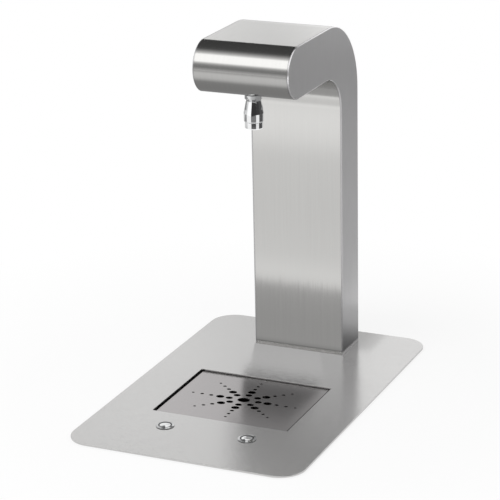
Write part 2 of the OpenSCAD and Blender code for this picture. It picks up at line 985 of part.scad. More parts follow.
module button_housing(side) {
    neck_r = cap_r + slide_gap;
    chamber_r = skirt_r + slide_gap;
    pin_hole_r = pin_d / 2 + slide_gap;
    color("whitesmoke")
        button_place(side)
            rotate_extrude()
                polygon([
                    [neck_r, bezel_top],
                    [bezel_crest_r, bezel_top],
                    [bezel_d / 2, bezel_low + bezel_rim_h],
                    [bezel_d / 2, bezel_low],
                    [barrel_d / 2, bezel_low],
                    [barrel_d / 2, barrel_low],
                    [chamber_r, barrel_low],
                    [chamber_r, barrel_floor_low],
                    [pin_hole_r, barrel_floor_low],
                    [pin_hole_r, spring_low],
                    [chamber_r, spring_low],
                    [chamber_r, skirt_top + slide_gap],
                    [neck_r, skirt_top + slide_gap]
                ]);
}

module button_cap(side) {
    color("white")
        button_place(side)
            rotate_extrude()
                polygon([
                    [0, cap_top],
                    [cap_r - 2 * cap_dome_h, cap_top],
                    [cap_r, cap_top - cap_dome_h],
                    [cap_r, skirt_top],
                    [skirt_r, skirt_top],
                    [skirt_r, skirt_low],
                    [pin_d / 2, skirt_low],
                    [pin_d / 2, pin_low],
                    [0, pin_low]
                ]);
}

// One unbroken wire wound as a helix, with its flat ends just clear of cap and floor
module button_spring(side) {
    coil_r = (spring_d - spring_wire_d) / 2;
    wire_r = spring_wire_d / 2;
    low = spring_low + wire_r + fit_gap;
    rise = spring_h - spring_wire_d - 2 * fit_gap;
    last = spring_turns * spring_steps;
    points = [
        for (i = [0:last], k = [0:wire_sides - 1])
            let (
                a = 360 * i / spring_steps,
                b = 360 * k / wire_sides,
                r = coil_r + wire_r * cos(b)
            )
                [r * cos(a), r * sin(a), low + rise * i / last + wire_r * sin(b)]
    ];
    sides = [
        for (i = [0:last - 1], k = [0:wire_sides - 1])
            let (
                here = i * wire_sides,
                next = here + wire_sides,
                k2 = (k + 1) % wire_sides
            )
                each [
                    [here + k, here + k2, next + k],
                    [here + k2, next + k2, next + k]
                ]
    ];
    start = [for (k = [0:wire_sides - 1]) wire_sides - 1 - k];
    end = [for (k = [0:wire_sides - 1]) last * wire_sides + k];
    color("silver")
        button_place(side)
            polyhedron(points, concat(sides, [start], [end]));
}

module button_seal(side) {
    color("black")
        button_place(side)
            pipe(bezel_d - 2 * bezel_rim_h, barrel_d + 2 * fit_gap, deck_top, bezel_low);
}

module button_nut(side) {
    color("gainsboro")
        button_place(side)
            hex_ring(button_nut_af, barrel_d + 2 * fit_gap, deck_low - button_nut_h, deck_low);
}

// The switch plugs into the barrel and takes the cap's push pin in its bore
module button_switch(side) {
    pin_bore_r = pin_d / 2 + slide_gap;
    spigot_r = skirt_r + slide_gap - fit_gap;
    color("dimgray")
        button_place(side)
            rotate_extrude()
                polygon([
                    [0, switch_low],
                    [switch_d / 2, switch_low],
                    [switch_d / 2, barrel_low],
                    [spigot_r, barrel_low],
                    [spigot_r, barrel_floor_low],
                    [pin_bore_r, barrel_floor_low],
                    [pin_bore_r, pin_bore_low],
                    [0, pin_bore_low]
                ]);
}

module button_terminals(side) {
    color("gold")
        button_place(side)
            for (x = [-1, 1])
                translate([x * blade_x - blade_w / 2, -blade_t / 2, switch_low - blade_len])
                    cube([blade_w, blade_t, blade_len]);
}

base_plate();
counter_seal();
worktop_studs();
drip_well();
grille_rest(-1);  // front_rest
grille_rest(1);  // rear_rest
drain_grille();
waste_body();
waste_seal();
waste_nut();
hose_tail();
cheek(-1);  // left_cheek
cheek(1);  // right_cheek
front_skin();
outer_skin();
foot_plate();
foot_studs();
clamp_plate();
foot_washers();
foot_nuts();
spout_seal();
spout_collar();
spout_shank();
shank_washer();
shank_nut();
nozzle_body();
outlet_ring();
outlet_washer();
flow_insert();
branch_fitting();
water_line(-1, "lightblue");  // still_line
water_line(1, "lightgreen");  // sparkling_line
line_saddles();
bulkhead_union(-1);  // still_union
bulkhead_union(1);  // sparkling_union
union_nuts();
button_housing(-1);  // left_button_housing
button_cap(-1);  // left_button_cap
button_spring(-1);  // left_button_spring
button_seal(-1);  // left_button_seal
button_nut(-1);  // left_button_nut
button_switch(-1);  // left_button_switch
button_terminals(-1);  // left_button_terminals
button_housing(1);  // right_button_housing
button_cap(1);  // right_button_cap
button_spring(1);  // right_button_spring
button_seal(1);  // right_button_seal
button_nut(1);  // right_button_nut
button_switch(1);  // right_button_switch
button_terminals(1);  // right_button_terminals
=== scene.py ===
# Looks of a counter-mounted water tower: brushed deck, bent column, star grille, chrome spout and buttons.
# Metres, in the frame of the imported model. Pieces are meshes with their place in their points.

import json
import math

import bmesh
import bpy
from mathutils import Matrix, Vector


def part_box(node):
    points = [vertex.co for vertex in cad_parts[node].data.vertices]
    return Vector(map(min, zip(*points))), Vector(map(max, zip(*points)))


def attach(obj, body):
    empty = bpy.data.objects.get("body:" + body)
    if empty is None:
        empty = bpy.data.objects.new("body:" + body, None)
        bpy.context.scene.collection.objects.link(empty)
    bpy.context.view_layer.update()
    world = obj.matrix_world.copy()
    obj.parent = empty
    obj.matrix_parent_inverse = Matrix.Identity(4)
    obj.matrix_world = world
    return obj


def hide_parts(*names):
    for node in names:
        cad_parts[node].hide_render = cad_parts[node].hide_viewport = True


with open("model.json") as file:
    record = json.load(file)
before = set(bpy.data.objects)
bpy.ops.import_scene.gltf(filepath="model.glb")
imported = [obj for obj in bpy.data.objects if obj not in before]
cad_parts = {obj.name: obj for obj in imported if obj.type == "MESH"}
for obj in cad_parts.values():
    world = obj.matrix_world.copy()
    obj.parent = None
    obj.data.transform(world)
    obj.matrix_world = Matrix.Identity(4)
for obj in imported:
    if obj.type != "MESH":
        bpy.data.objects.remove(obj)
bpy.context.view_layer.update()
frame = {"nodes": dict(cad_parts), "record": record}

bl_info = {
    "name": "Water Tower Looks",
    "version": (1, 0, 0),
    "blender": (4, 5, 0),
    "location": "View3D > Sidebar > Water Tower",
    "description": "Builds the visible sheet metal, spout and buttons of a water tower round its frame",
    "category": "Object",
}

DECK_LOW, DECK_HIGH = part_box("base_plate")
CHEEK_LOW, CHEEK_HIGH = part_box("right_cheek")
GRILLE_LOW, GRILLE_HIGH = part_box("drain_grille")
COLLAR_LOW, COLLAR_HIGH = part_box("spout_collar")
NOZZLE_LOW, NOZZLE_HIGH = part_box("nozzle_body")
OUTLET_LOW, OUTLET_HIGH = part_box("outlet_ring")
INSERT_LOW, INSERT_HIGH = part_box("flow_insert")
STAGE_MIDDLE = Vector((0, 0, CHEEK_HIGH.z / 2))


# Properties


def size(label, about, default):
    return bpy.props.FloatProperty(
        name=label, description=about, default=default, min=0, precision=5, unit="LENGTH"
    )


def share(label, about, default):
    return bpy.props.FloatProperty(
        name=label, description=about, default=default, min=0, max=1, subtype="FACTOR"
    )


def turn(label, about, degrees):
    return bpy.props.FloatProperty(
        name=label, description=about, default=math.radians(degrees), unit="ROTATION"
    )


def tint(label, about, colour):
    return bpy.props.FloatVectorProperty(
        name=label, description=about, default=colour, size=3, min=0, max=1, subtype="COLOR"
    )


def count(label, about, default):
    return bpy.props.IntProperty(name=label, description=about, default=default, min=1)


class DeckSizes(bpy.types.PropertyGroup):
    corner: size("Corner", "Radius of the deck plate's corners", 0.032)
    edge: size("Edge", "Rounding of the sheet's cut edges", 0.0004)
    tray_corner: size("Tray corner", "Radius of the tray opening's corners", 0.0015)
    side_gap: size("Side gap", "Open gap at each side of the grille", 0.0028)
    end_gap: size("End gap", "Open gap in front of and behind the grille", 0.0012)
    button_hole: size("Button hole", "Radius of a button's hole in the deck", 0.00975)


class ColumnSizes(bpy.types.PropertyGroup):
    arm: size("Arm height", "Height of the arm and diameter of its round nose", 0.064)
    depth: size("Depth", "Depth of the column from front to back", 0.056)
    inner_bend: size("Inner bend", "Radius of the bend under the arm", 0.049)
    outer_bend: size("Outer bend", "Radius of the bend at the top of the back", 0.095)
    skin: size("Skin", "Thickness of the bent sheets", 0.0015)
    cheek: size("Cheek", "Thickness of the cheeks", 0.002)
    chamfer: size("Chamfer", "Width of the ground edge round each cheek's outside", 0.0009)
    seam: size("Seam", "Small bevel where a cheek meets the bent sheets", 0.0002)
    # The bright rim is a painted highlight beside the ground edge
    ground_and_highlight: size("Ground rim", "Width of the bright rim beside the ground edge", 0.0003)


class GrilleSizes(bpy.types.PropertyGroup):
    corner: size("Corner", "Radius of the grille's corners", 0.0015)
    edge: size("Edge", "Bevel of the grille's cut edges", 0.00012)
    rays: count("Rays", "Number of rays of the star", 8)
    middle: size("Middle", "Length of the star's middle hole", 0.016)
    first: size("First ring", "Distance from the middle to the first hole of a ray", 0.0196)
    pitch: size("Pitch", "Distance between the holes of a ray", 0.0123)
    shift: size("Shift", "Distance that the star lies behind the grille's middle", 0.0025)


class SpoutSizes(bpy.types.PropertyGroup):
    shank: size("Shank", "Radius of the threaded shank", 0.00705)
    collar_bevel: size("Collar bevel", "Bevel of the collar's lower edge", 0.0007)
    neck: size("Neck", "Radius of the slim neck under the collar", 0.0082)
    neck_height: size("Neck height", "Height of the slim neck", 0.0015)
    cone_top: size("Cone top", "Radius of the cone's top", 0.009)
    cone_height: size("Cone height", "Height of the cone", 0.0158)
    band_height: size("Band height", "Height of the band under the cone", 0.0099)
    band_taper: size("Band taper", "Fall of the band's radius towards its foot", 0.00025)
    spigot: size("Spigot", "Radius of the spigot inside the outlet ring", 0.0096)
    chamber: size("Chamber", "Radius of the nozzle's chamber", 0.0084)
    lip: size("Lip", "Radius of the outlet ring's mouth", 0.0076)
    foot_round: size("Foot", "Roundness of the outlet ring's foot", 0.0013)
    wall: size("Wall", "Height from the cone's foot to the chamber's roof", 0.0007)
    fit_gap: size("Fit gap", "Gap between the outlet ring and what it holds", 0.00005)


class ButtonSizes(bpy.types.PropertyGroup):
    cap: size("Cap", "Radius of the visible cap", 0.0075)
    slide_gap: size("Slide gap", "Gap round the cap", 0.0001)
    dome: size("Dome", "Height of the cap's dome", 0.0007)
    crest: size("Crest", "Width of the bezel's crest round the cap", 0.0008)
    rim: size("Rim", "Height of the bezel's outer rim", 0.0004)
    barrel: size("Barrel", "Radius of the threaded barrel", 0.0095)
    skirt: size("Skirt", "Radius of the cap's retaining skirt", 0.008)
    skirt_top: size("Skirt top", "Depth of the skirt's top below the bezel's crest", 0.0035)
    skirt_height: size("Skirt height", "Height of the skirt", 0.0036)
    floor_gap: size("Spring space", "Height between the skirt and the barrel's inner floor", 0.006)
    floor: size("Floor", "Thickness of the barrel's inner floor", 0.002)
    pin: size("Pin", "Radius of the cap's push pin", 0.002)


class FinishColours(bpy.types.PropertyGroup):
    deck: tint("Deck", "Brushed steel of the deck plate", (0.565, 0.56, 0.555))
    skin: tint("Skins", "Brushed steel of the bent sheets", (0.575, 0.57, 0.558))
    cheek: tint("Cheeks", "Satin steel of the cheeks", (0.5, 0.495, 0.5))
    grille: tint("Grille", "Dark satin steel of the grille", (0.4, 0.385, 0.385))
    chrome: tint("Chrome", "Polished chrome plate", (0.84, 0.845, 0.85))


class StageSettings(bpy.types.PropertyGroup):
    azimuth: turn("Azimuth", "Camera's turn from the front towards the right", 24.22)
    elevation: turn("Elevation", "Camera's height over the horizon", 18.95)
    roll: turn("Roll", "Camera's turn about its own axis", -1.18)
    place: bpy.props.FloatVectorProperty(
        name="Place", description="Where the camera stands", default=(0.9960, -2.2211, 1.0208), subtype="XYZ"
    )
    lens: bpy.props.FloatProperty(
        name="Lens", description="Focal length on a 36 mm sensor", default=151.95, unit="CAMERA"
    )
    ambient: share("Ambient", "Strength of the room's even light", 0.85)
    lamp_power: bpy.props.FloatProperty(
        name="Lamp power", description="Power of the soft lamp", default=16, min=0, unit="POWER"
    )
    lamp_size: size("Lamp size", "Side of the square lamp", 1.6)
    lamp_place: bpy.props.FloatVectorProperty(
        name="Lamp place", description="Where the lamp hangs", default=(-0.9, -1.3, 1.9), subtype="XYZ"
    )


GROUPS = {
    "tower_deck": DeckSizes,
    "tower_column": ColumnSizes,
    "tower_grille": GrilleSizes,
    "tower_spout": SpoutSizes,
    "tower_buttons": ButtonSizes,
    "tower_colours": FinishColours,
    "tower_stage": StageSettings,
}


def chosen(group):
    return getattr(bpy.context.scene, group)


# Shader and node maths


class Signal:
    """A number on a socket. Each operator adds one Math node to its net."""

    def __init__(self, net, socket):
        self.net = net
        self.socket = socket

    def __add__(self, other):
        return self.net.math("ADD", self, other)

    __radd__ = __add__

    def __sub__(self, other):
        return self.net.math("SUBTRACT", self, other)

    def __rsub__(self, other):
        return self.net.math("SUBTRACT", other, self)

    def __mul__(self, other):
        return self.net.math("MULTIPLY", self, other)

    __rmul__ = __mul__


class Net:
    """A node tree. One method makes every node, and the others are short forms of it."""

    def __init__(self, tree):
        self.tree = tree
        tree.nodes.clear()

    def node(self, kind, settings=None, sockets=None):
        made = self.tree.nodes.new(kind)
        for key, value in (settings or {}).items():
            setattr(made, key, value)
        for key, value in (sockets or {}).items():
            self.feed(made.inputs[key], value)
        return made

    def feed(self, socket, value):
        if isinstance(value, Signal):
            value = value.socket
        if isinstance(value, bpy.types.NodeSocket):
            self.tree.links.new(value, socket)
        else:
            socket.default_value = value

    def math(self, operation, first, second):
        made = self.node("ShaderNodeMath", {"operation": operation}, {0: first, 1: second})
        return Signal(self, made.outputs[0])

    def vector(self, operation, sockets):
        return self.node("ShaderNodeVectorMath", {"operation": operation}, sockets).outputs["Vector"]

    def length(self, vector):
        made = self.node("ShaderNodeVectorMath", {"operation": "LENGTH"}, {0: vector})
        return Signal(self, made.outputs["Value"])

    def mix(self, factor, first, second):
        """A blend of two colours, which are the node's inputs 6 and 7 and its output 2."""
        made = self.node("ShaderNodeMix", {"data_type": "RGBA"}, {0: factor, 6: first, 7: second})
        return made.outputs[2]

    def tones(self, share_light, colour, darkest, lightest):
        """A colour that goes from its darkest to its lightest tone."""
        return self.mix(share_light, shade(colour, darkest), shade(colour, lightest))

    def object_place(self):
        return self.node("ShaderNodeTexCoord").outputs["Object"]

    def mark(self, name):
        """The share that a mesh gives to each of its faces."""
        return self.node("ShaderNodeAttribute", {"attribute_name": name}).outputs["Fac"]

    def noise(self, where, stretch, detail=2.0, rough=0.5):
        """Noise between 0 and 1 over a place whose axes are stretched."""
        scaled = self.vector("MULTIPLY", {0: where, 1: stretch})
        sockets = {"Vector": scaled, "Scale": 1.0, "Detail": detail, "Roughness": rough}
        return Signal(self, self.node("ShaderNodeTexNoise", {}, sockets).outputs["Fac"])


def shade(colour, factor):
    return (*(min(1.0, c * factor) for c in colour), 1.0)


def new_finish(name):
    """Empties the plain material that the frame has for a slot, or makes a new one, and returns its net."""
    material = bpy.data.materials.get(name) or bpy.data.materials.new(name)
    material.use_nodes = True
    return Net(material.node_tree)


def close_finish(net, colour, roughness, metallic=1.0, normal=None):
    values = {"Base Color": colour, "Roughness": roughness, "Metallic": metallic}
    if normal is not None:
        values["Normal"] = normal
    surface = net.node("ShaderNodeBsdfPrincipled", {}, values)
    net.node("ShaderNodeOutputMaterial", {}, {"Surface": surface.outputs[0]})


# Fineness of the brushed grain, across it and along it
HAIRS_PER_METRE, HAIR_RUNS_PER_METRE = 3200, 24
STREAKS_PER_METRE, STREAK_RUNS_PER_METRE = 420, 7
CLOUDS_PER_METRE = 7
CLOUD_SHARE = 0.3
# Colour of a ground edge with the painted highlight line along it, and of a ring of painted shade, as shares
# of the finish's own
GROUND_AND_HIGHLIGHT_SHARE = 1.85
SHADED_SHARE = 0.05
# Fineness of the patterns on chrome, on turned or rolled metal and on mouldings
SMEARS_PER_METRE = (160, 160, 90)
TURNING_RINGS_PER_METRE = (30, 30, 2200)
SKIN_GRAINS_PER_METRE = 1500
SKIN_CLOUDS_PER_METRE = 60
# How far each of them varies the roughness
SMEAR_SWING, MOTTLE_SWING, CLOUD_SWING = 0.03, 0.2, 0.15


def brushed_steel(name, colour, across, grain, tilt, roughness, contrast, swing, use_map=False):
    """Steel with a hair-fine grain that tilts the surface across it, soft streaks, and ground edges painted
    brighter as a highlight line.

    The grain is the fineness of its hairs and of its streaks along the three axes. The contrast is how far
    the colour varies, and the swing how far the roughness does.
    """
    net = new_finish(name)
    where = net.node("ShaderNodeUVMap", {"uv_map": "grain"}).outputs[0] if use_map else net.object_place()
    hair, streak = grain
    hairs = net.noise(where, hair, detail=3.0, rough=0.6)
    streaks = net.noise(where, streak, detail=3.0, rough=0.55)
    clouds = net.noise(where, (CLOUDS_PER_METRE,) * 3, detail=1.0)
    tone = streaks * (1 - CLOUD_SHARE) + clouds * CLOUD_SHARE
    base = net.tones(tone, colour, darkest=1 - contrast, lightest=1 + contrast)
    # Marked ground edges get a brighter colour, which is a painted highlight line along them
    base = net.mix(net.mark("ground_and_highlight"), base, shade(colour, GROUND_AND_HIGHLIGHT_SHARE))
    lean = net.vector("SCALE", {0: across, "Scale": (hairs - 0.5) * tilt})
    facing = net.node("ShaderNodeNewGeometry").outputs["Normal"]
    normal = net.vector("NORMALIZE", {0: net.vector("ADD", {0: facing, 1: lean})})
    close_finish(net, base, roughness + (streaks - 0.5) * swing, normal=normal)


def polished(name, colour, roughness):
    """Bright plated metal with faint smears, dark where its mesh is marked as shaded."""
    net = new_finish(name)
    smears = net.noise(net.object_place(), SMEARS_PER_METRE, detail=3.0)
    base = net.tones(smears, colour, darkest=0.97, lightest=1.03)
    base = net.mix(net.mark("shaded"), base, shade(colour, SHADED_SHARE))
    close_finish(net, base, roughness + smears * SMEAR_SWING)


def satin_metal(name, colour, roughness, spots_per_metre=90):
    """Plain turned or rolled metal with small mottling."""
    net = new_finish(name)
    where = net.object_place()
    mottle = net.noise(where, (spots_per_metre,) * 3, detail=4.0)
    rings = net.noise(where, TURNING_RINGS_PER_METRE)
    base = net.tones(mottle, colour, darkest=0.88, lightest=1.1)
    bump = net.node("ShaderNodeBump", {}, {"Strength": 0.15, "Distance": 0.0002, "Height": rings})
    close_finish(net, base, roughness + (mottle - 0.5) * MOTTLE_SWING, normal=bump.outputs[0])


def moulded(name, colour, roughness):
    """Moulded plastic or rubber with a fine skin."""
    net = new_finish(name)
    where = net.object_place()
    skin = net.noise(where, (SKIN_GRAINS_PER_METRE,) * 3)
    clouds = net.noise(where, (SKIN_CLOUDS_PER_METRE,) * 3)
    base = net.tones(clouds, colour, darkest=0.9, lightest=1.08)
    bump = net.node("ShaderNodeBump", {}, {"Strength": 0.2, "Distance": 0.0001, "Height": skin})
    uneven = roughness + (clouds - 0.5) * CLOUD_SWING
    close_finish(net, base, uneven, metallic=0.0, normal=bump.outputs[0])


def build_brushed_steels():
    colours = chosen("tower_colours")
    hair, hair_run = HAIRS_PER_METRE, HAIR_RUNS_PER_METRE
    streak, streak_run = STREAKS_PER_METRE, STREAK_RUNS_PER_METRE
    fine_x = ((6 * hair_run, 2 * hair, 2 * hair), (8 * streak_run, 3 * streak, 3 * streak))
    along_z = ((hair, hair, hair_run), (streak, streak, streak_run))
    along_map = ((hair_run, hair, 1), (streak_run, streak, 1))
    sideways, backwards = (1, 0, 0), (0, 1, 0)
    brushed_steel(
        "deck_steel", colours.deck, backwards, fine_x,
        tilt=0.45, roughness=0.2, contrast=0.08, swing=0.02,
    )
    brushed_steel(
        "skin_steel", colours.skin, sideways, along_map,
        tilt=0.35, roughness=0.12, contrast=0.05, swing=0.06, use_map=True,
    )
    brushed_steel(
        "cheek_steel", colours.cheek, backwards, along_z,
        tilt=0.35, roughness=0.3, contrast=0.05, swing=0.1,
    )
    brushed_steel(
        "grille_steel", colours.grille, backwards, fine_x,
        tilt=0.06, roughness=0.17, contrast=0.04, swing=0.02,
    )


def build_finishes():
    build_brushed_steels()
    chrome = chosen("tower_colours").chrome
    polished("chrome", chrome, roughness=0.03)
    polished("button_chrome", chrome, roughness=0.04)
    # The well's steel is made dark as painted shade inside the well, seen through the grille's gaps and
    # holes
    satin_metal("well_steel", (0.2, 0.195, 0.19), roughness=0.4, spots_per_metre=40)
    satin_metal("plain_steel", (0.56, 0.56, 0.55), roughness=0.3)
    satin_metal("spring_steel", (0.58, 0.58, 0.57), roughness=0.25, spots_per_metre=400)
    satin_metal("brass", (0.76, 0.58, 0.28), roughness=0.25)
    satin_metal("nickel", (0.72, 0.69, 0.64), roughness=0.22)
    moulded("rubber", (0.022, 0.022, 0.023), roughness=0.65)
    moulded("white_plastic", (0.8, 0.8, 0.77), roughness=0.4)
    moulded("black_plastic", (0.025, 0.025, 0.028), roughness=0.4)
    moulded("blue_line", (0.1, 0.26, 0.55), roughness=0.35)
    moulded("clear_line", (0.74, 0.77, 0.78), roughness=0.3)


def finish(name):
    if name not in bpy.data.materials:
        raise RuntimeError(f"the finish {name} hasn't been made")
    return bpy.data.materials[name]


# Outlines and meshes


ARC_DEGREES = 4
ARC_STEP = math.radians(ARC_DEGREES)
FEWEST_ARC_STEPS = 4
CORNER_STEPS = 8
# Share of a straight stretch that the rounding at one of its ends may use up
CORNER_REACH = 0.49
SHARP = math.radians(14)
SLIGHT = 1e-6


def arc(centre, radius, start, end):
    """Points of an arc in a plane, angles in degrees, both ends included."""
    start, end = math.radians(start), math.radians(end)
    steps = max(FEWEST_ARC_STEPS, math.ceil(abs(end - start) / ARC_STEP))
    angles = [start + (end - start) * k / steps for k in range(steps + 1)]
    return [(centre[0] + radius * math.cos(a), centre[1] + radius * math.sin(a)) for a in angles]


def rounded_rectangle(low, high, corner, inset=0.0):
    """Outline between two corners of a box, drawn in by an inset, or out by a negative one."""
    x0, y0, x1, y1 = low[0] + corner, low[1] + corner, high[0] - corner, high[1] - corner
    radius = corner - inset
    corners = (((x1, y1), 0), ((x0, y1), 90), ((x0, y0), 180), ((x1, y0), 270))
    return [point for middle, turned in corners for point in arc(middle, radius, turned, turned + 90)]


def softened(corners):
    """Closed outline with rounded corners. Each corner is (across, up, radius)."""
    points = []
    for k, (across, up, radius) in enumerate(corners):
        here = Vector((across, up))
        if not radius:
            points.append((across, up))
            continue
        back = Vector(corners[k - 1][:2]) - here
        ahead = Vector(corners[(k + 1) % len(corners)][:2]) - here
        half = back.angle(ahead) / 2
        reach = min(radius / math.tan(half), CORNER_REACH * back.length, CORNER_REACH * ahead.length)
        radius = reach * math.tan(half)
        middle = here + (back.normalized() + ahead.normalized()).normalized() * radius / math.sin(half)
        first = here + back.normalized() * reach - middle
        last = here + ahead.normalized() * reach - middle
        sweep = first.angle_signed(last)
        for step in range(CORNER_STEPS + 1):
            spoke = first.copy()
            spoke.rotate(Matrix.Rotation(-sweep * step / CORNER_STEPS, 2))
            points.append(tuple(middle + spoke))
    return points


def mark_sharp(bm, flat_faces=()):
    """Smooth shading, with sharp edges at corners and round flat faces."""
    flat = set(flat_faces)
    for face in bm.faces:
        face.smooth = face not in flat
    for edge in bm.edges:
        if len(edge.link_faces) == 2:
            edge.smooth = edge.calc_face_angle() < SHARP and not any(f in flat for f in edge.link_faces)


def add_piece(bm, name, material, body, replaced):
    """A finished piece at the origin, which rides on its body and stands for its nodes."""
    mesh = bpy.data.meshes.new(name)
    bm.to_mesh(mesh)
    bm.free()
    return place_piece(mesh, name, material, body, replaced)


def place_piece(mesh, name, material, body, replaced):
    if not mesh.polygons:
        raise RuntimeError(f"{name} came out empty")
    mesh.materials.clear()
    mesh.materials.append(finish(material))
    piece = bpy.data.objects.new(name, mesh)
    bpy.context.scene.collection.objects.link(piece)
    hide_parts(*replaced)
    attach(piece, body)
    return piece


def cut_plate(loops_at, layers, place):
    """A plate of layers of loops, closed at both ends.

    loops_at(inset) gives the loops, layers are (inset, height), and place(point, height) puts a point.
    """
    bm = bmesh.new()
    rings = [
        [[bm.verts.new(place(point, height)) for point in loop] for loop in loops_at(inset)]
        for inset, height in layers
    ]
    for lower, upper in zip(rings, rings[1:]):
        for first, second in zip(lower, upper):
            for k in range(len(first)):
                bm.faces.new((first[k - 1], first[k], second[k], second[k - 1]))
    caps = []
    for ring in (rings[0], rings[-1]):
        edges = [bm.edges.get((loop[k - 1], loop[k])) for loop in ring for k in range(len(loop))]
        made = bmesh.ops.triangle_fill(bm, use_beauty=True, edges=edges)["geom"]
        caps += [item for item in made if isinstance(item, bmesh.types.BMFace)]
    bmesh.ops.recalc_face_normals(bm, faces=bm.faces)
    mark_sharp(bm, caps)
    return bm


def rounded_layers(low, high, edge, steps=3):
    """Layers of a plate whose upper edge is rounded."""
    layers = [(0.0, low), (0.0, high - edge)]
    for k in range(1, steps + 1):
        angle = math.pi / 2 * k / steps
        layers.append((edge * (1 - math.cos(angle)), high - edge + edge * math.sin(angle)))
    return layers


def turned(outline, centre, steps=96):
    """A closed outline of (radius, height) points turned about an upright axis."""
    bm = bmesh.new()
    rings = []
    for radius, height in outline:
        if radius < SLIGHT:
            rings.append([bm.verts.new((centre.x, centre.y, height))] * steps)
            continue
        angles = [2 * math.pi * k / steps for k in range(steps)]
        places = [(centre.x + radius * math.cos(a), centre.y + radius * math.sin(a), height) for a in angles]
        rings.append([bm.verts.new(place) for place in places])
    for lower, upper in zip(rings, rings[1:] + rings[:1]):
        for k in range(steps):
            corners = []
            for vert in (lower[k - 1], lower[k], upper[k], upper[k - 1]):
                if vert not in corners:
                    corners.append(vert)
            if len(corners) > 2:
                bm.faces.new(corners)
    bmesh.ops.recalc_face_normals(bm, faces=bm.faces)
    mark_sharp(bm)
    return bm


def even_normals(piece):
    """Flat faces keep their own normals beside small roundings."""
    weighted = piece.modifiers.new("even_normals", "WEIGHTED_NORMAL")
    weighted.weight = 100
    weighted.keep_sharp = True


def middle(low, high):
    return (low + high) / 2


# Deck


def build_deck():
    sizes = chosen("tower_deck")
    gap = Vector((sizes.side_gap, sizes.end_gap, 0))
    tray_low, tray_high = GRILLE_LOW - gap, GRILLE_HIGH + gap
    holes = [middle(*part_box(f"{side}_button_cap")) for side in ("left", "right")]

    def loops_at(inset):
        outline = rounded_rectangle(DECK_LOW, DECK_HIGH, sizes.corner, inset)
        tray = rounded_rectangle(tray_low, tray_high, sizes.tray_corner, -inset)
        round_holes = [arc(hole, sizes.button_hole + inset, 0, 360 - ARC_DEGREES) for hole in holes]
        return [outline, tray, *round_holes]

    layers = rounded_layers(DECK_LOW.z, DECK_HIGH.z, sizes.edge)
    plate = cut_plate(loops_at, layers, lambda point, height: (*point, height))
    add_piece(plate, "deck_sheet", "deck_steel", "tower", ["base_plate"])


# Column


def column_path(sizes, inset):
    """Side outline of the column as two stretches, outer and front, each a list of (y, z) points."""
    back, foot, top = CHEEK_HIGH.y, CHEEK_LOW.z, CHEEK_HIGH.z
    front = back - sizes.depth
    nose = sizes.arm / 2
    bend_middle = (front - sizes.inner_bend, top - sizes.arm - sizes.inner_bend)
    outer = [
        (back - inset, foot),
        *arc((back - sizes.outer_bend, top - sizes.outer_bend), sizes.outer_bend - inset, 0, 90),
        *arc((CHEEK_LOW.y + nose, top - nose), nose - inset, 90, 270),
    ]
    under = arc(bend_middle, sizes.inner_bend + inset, 90, 0)
    return outer + under[:1], under + [(front + inset, foot)]


def build_cheeks():
    """The cheeks, whose ground edge and the rim beside it are marked above the arm's underside to be painted
    brighter: a real ground edge with a painted highlight along it.
    """
    sizes = chosen("tower_column")

    def loops_at(inset):
        outer, front = column_path(sizes, inset)
        return [outer[:-1] + front]

    depth = sizes.cheek
    underside = CHEEK_HIGH.z - sizes.arm
    rim = sizes.chamfer + sizes.ground_and_highlight
    chamfer_low = depth - sizes.chamfer
    layers = [(sizes.seam, 0), (0, sizes.seam), (0, chamfer_low), (sizes.chamfer, depth), (rim, depth)]
    for name, side in (("left", -1), ("right", 1)):
        inner = side * (CHEEK_HIGH.x - depth)
        plate = cut_plate(loops_at, layers, lambda point, height: (inner + side * height, *point))
        # The ground edge and the rim beside it, above the arm's underside, get a brighter colour: a painted
        # highlight along a real ground edge
        ground_and_highlight = plate.faces.layers.float.new("ground_and_highlight")
        for face in plate.faces:
            depths = [abs(corner.co.x - inner) for corner in face.verts]
            is_ground_and_highlight = len(depths) == 4 and min(depths) > chamfer_low - SLIGHT
            face[ground_and_highlight] = float(is_ground_and_highlight and face.calc_center_median().z > underside)
        add_piece(plate, f"{name}_cheek_plate", "cheek_steel", "tower", [f"{name}_cheek"])


def path_lengths(path):
    lengths = [0.0]
    for first, second in zip(path, path[1:]):
        lengths.append(lengths[-1] + math.dist(first, second))
    return lengths


def bent_sheet(outer, inner, half_width):
    """A sheet that follows a path, with a map of its length and width for the grain."""
    bm = bmesh.new()
    grain = bm.loops.layers.uv.new("grain")
    places = {}
    rows = []
    for path in (outer, inner):
        pair = []
        for x in (-half_width, half_width):
            row = [bm.verts.new((x, y, z)) for y, z in path]
            places.update({vert: (length, x) for vert, length in zip(row, path_lengths(path))})
            pair.append(row)
        rows.append(pair)
    (left_out, right_out), (left_in, right_in) = rows
    strips = [(left_out, right_out), (right_in, left_in), (right_out, right_in), (left_in, left_out)]
    for first, second in strips:
        for k in range(len(outer) - 1):
            bm.faces.new((first[k], first[k + 1], second[k + 1], second[k]))
    for k in (0, -1):
        bm.faces.new((left_out[k], right_out[k], right_in[k], left_in[k]))
    bmesh.ops.recalc_face_normals(bm, faces=bm.faces)
    for face in bm.faces:
        for corner in face.loops:
            corner[grain].uv = places[corner.vert]
    mark_sharp(bm)
    return bm


def build_skins():
    sizes = chosen("tower_column")
    half_width = CHEEK_HIGH.x - sizes.cheek
    for index, (name, node) in enumerate((("outer_sheet", "outer_skin"), ("front_sheet", "front_skin"))):
        outside = column_path(sizes, 0)[index]
        inside = column_path(sizes, sizes.skin)[index]
        sheet = bent_sheet(outside, inside, half_width)
        add_piece(sheet, name, "skin_steel", "tower", [node])


# Grille


# Lengths of a ray's holes, as shares of the middle hole's
HOLE_SHARES = (0.56, 0.66, 0.34, 0.29, 0.23)
OVAL_SIDES = 24
PLATE_CORNER_POINTS = 6


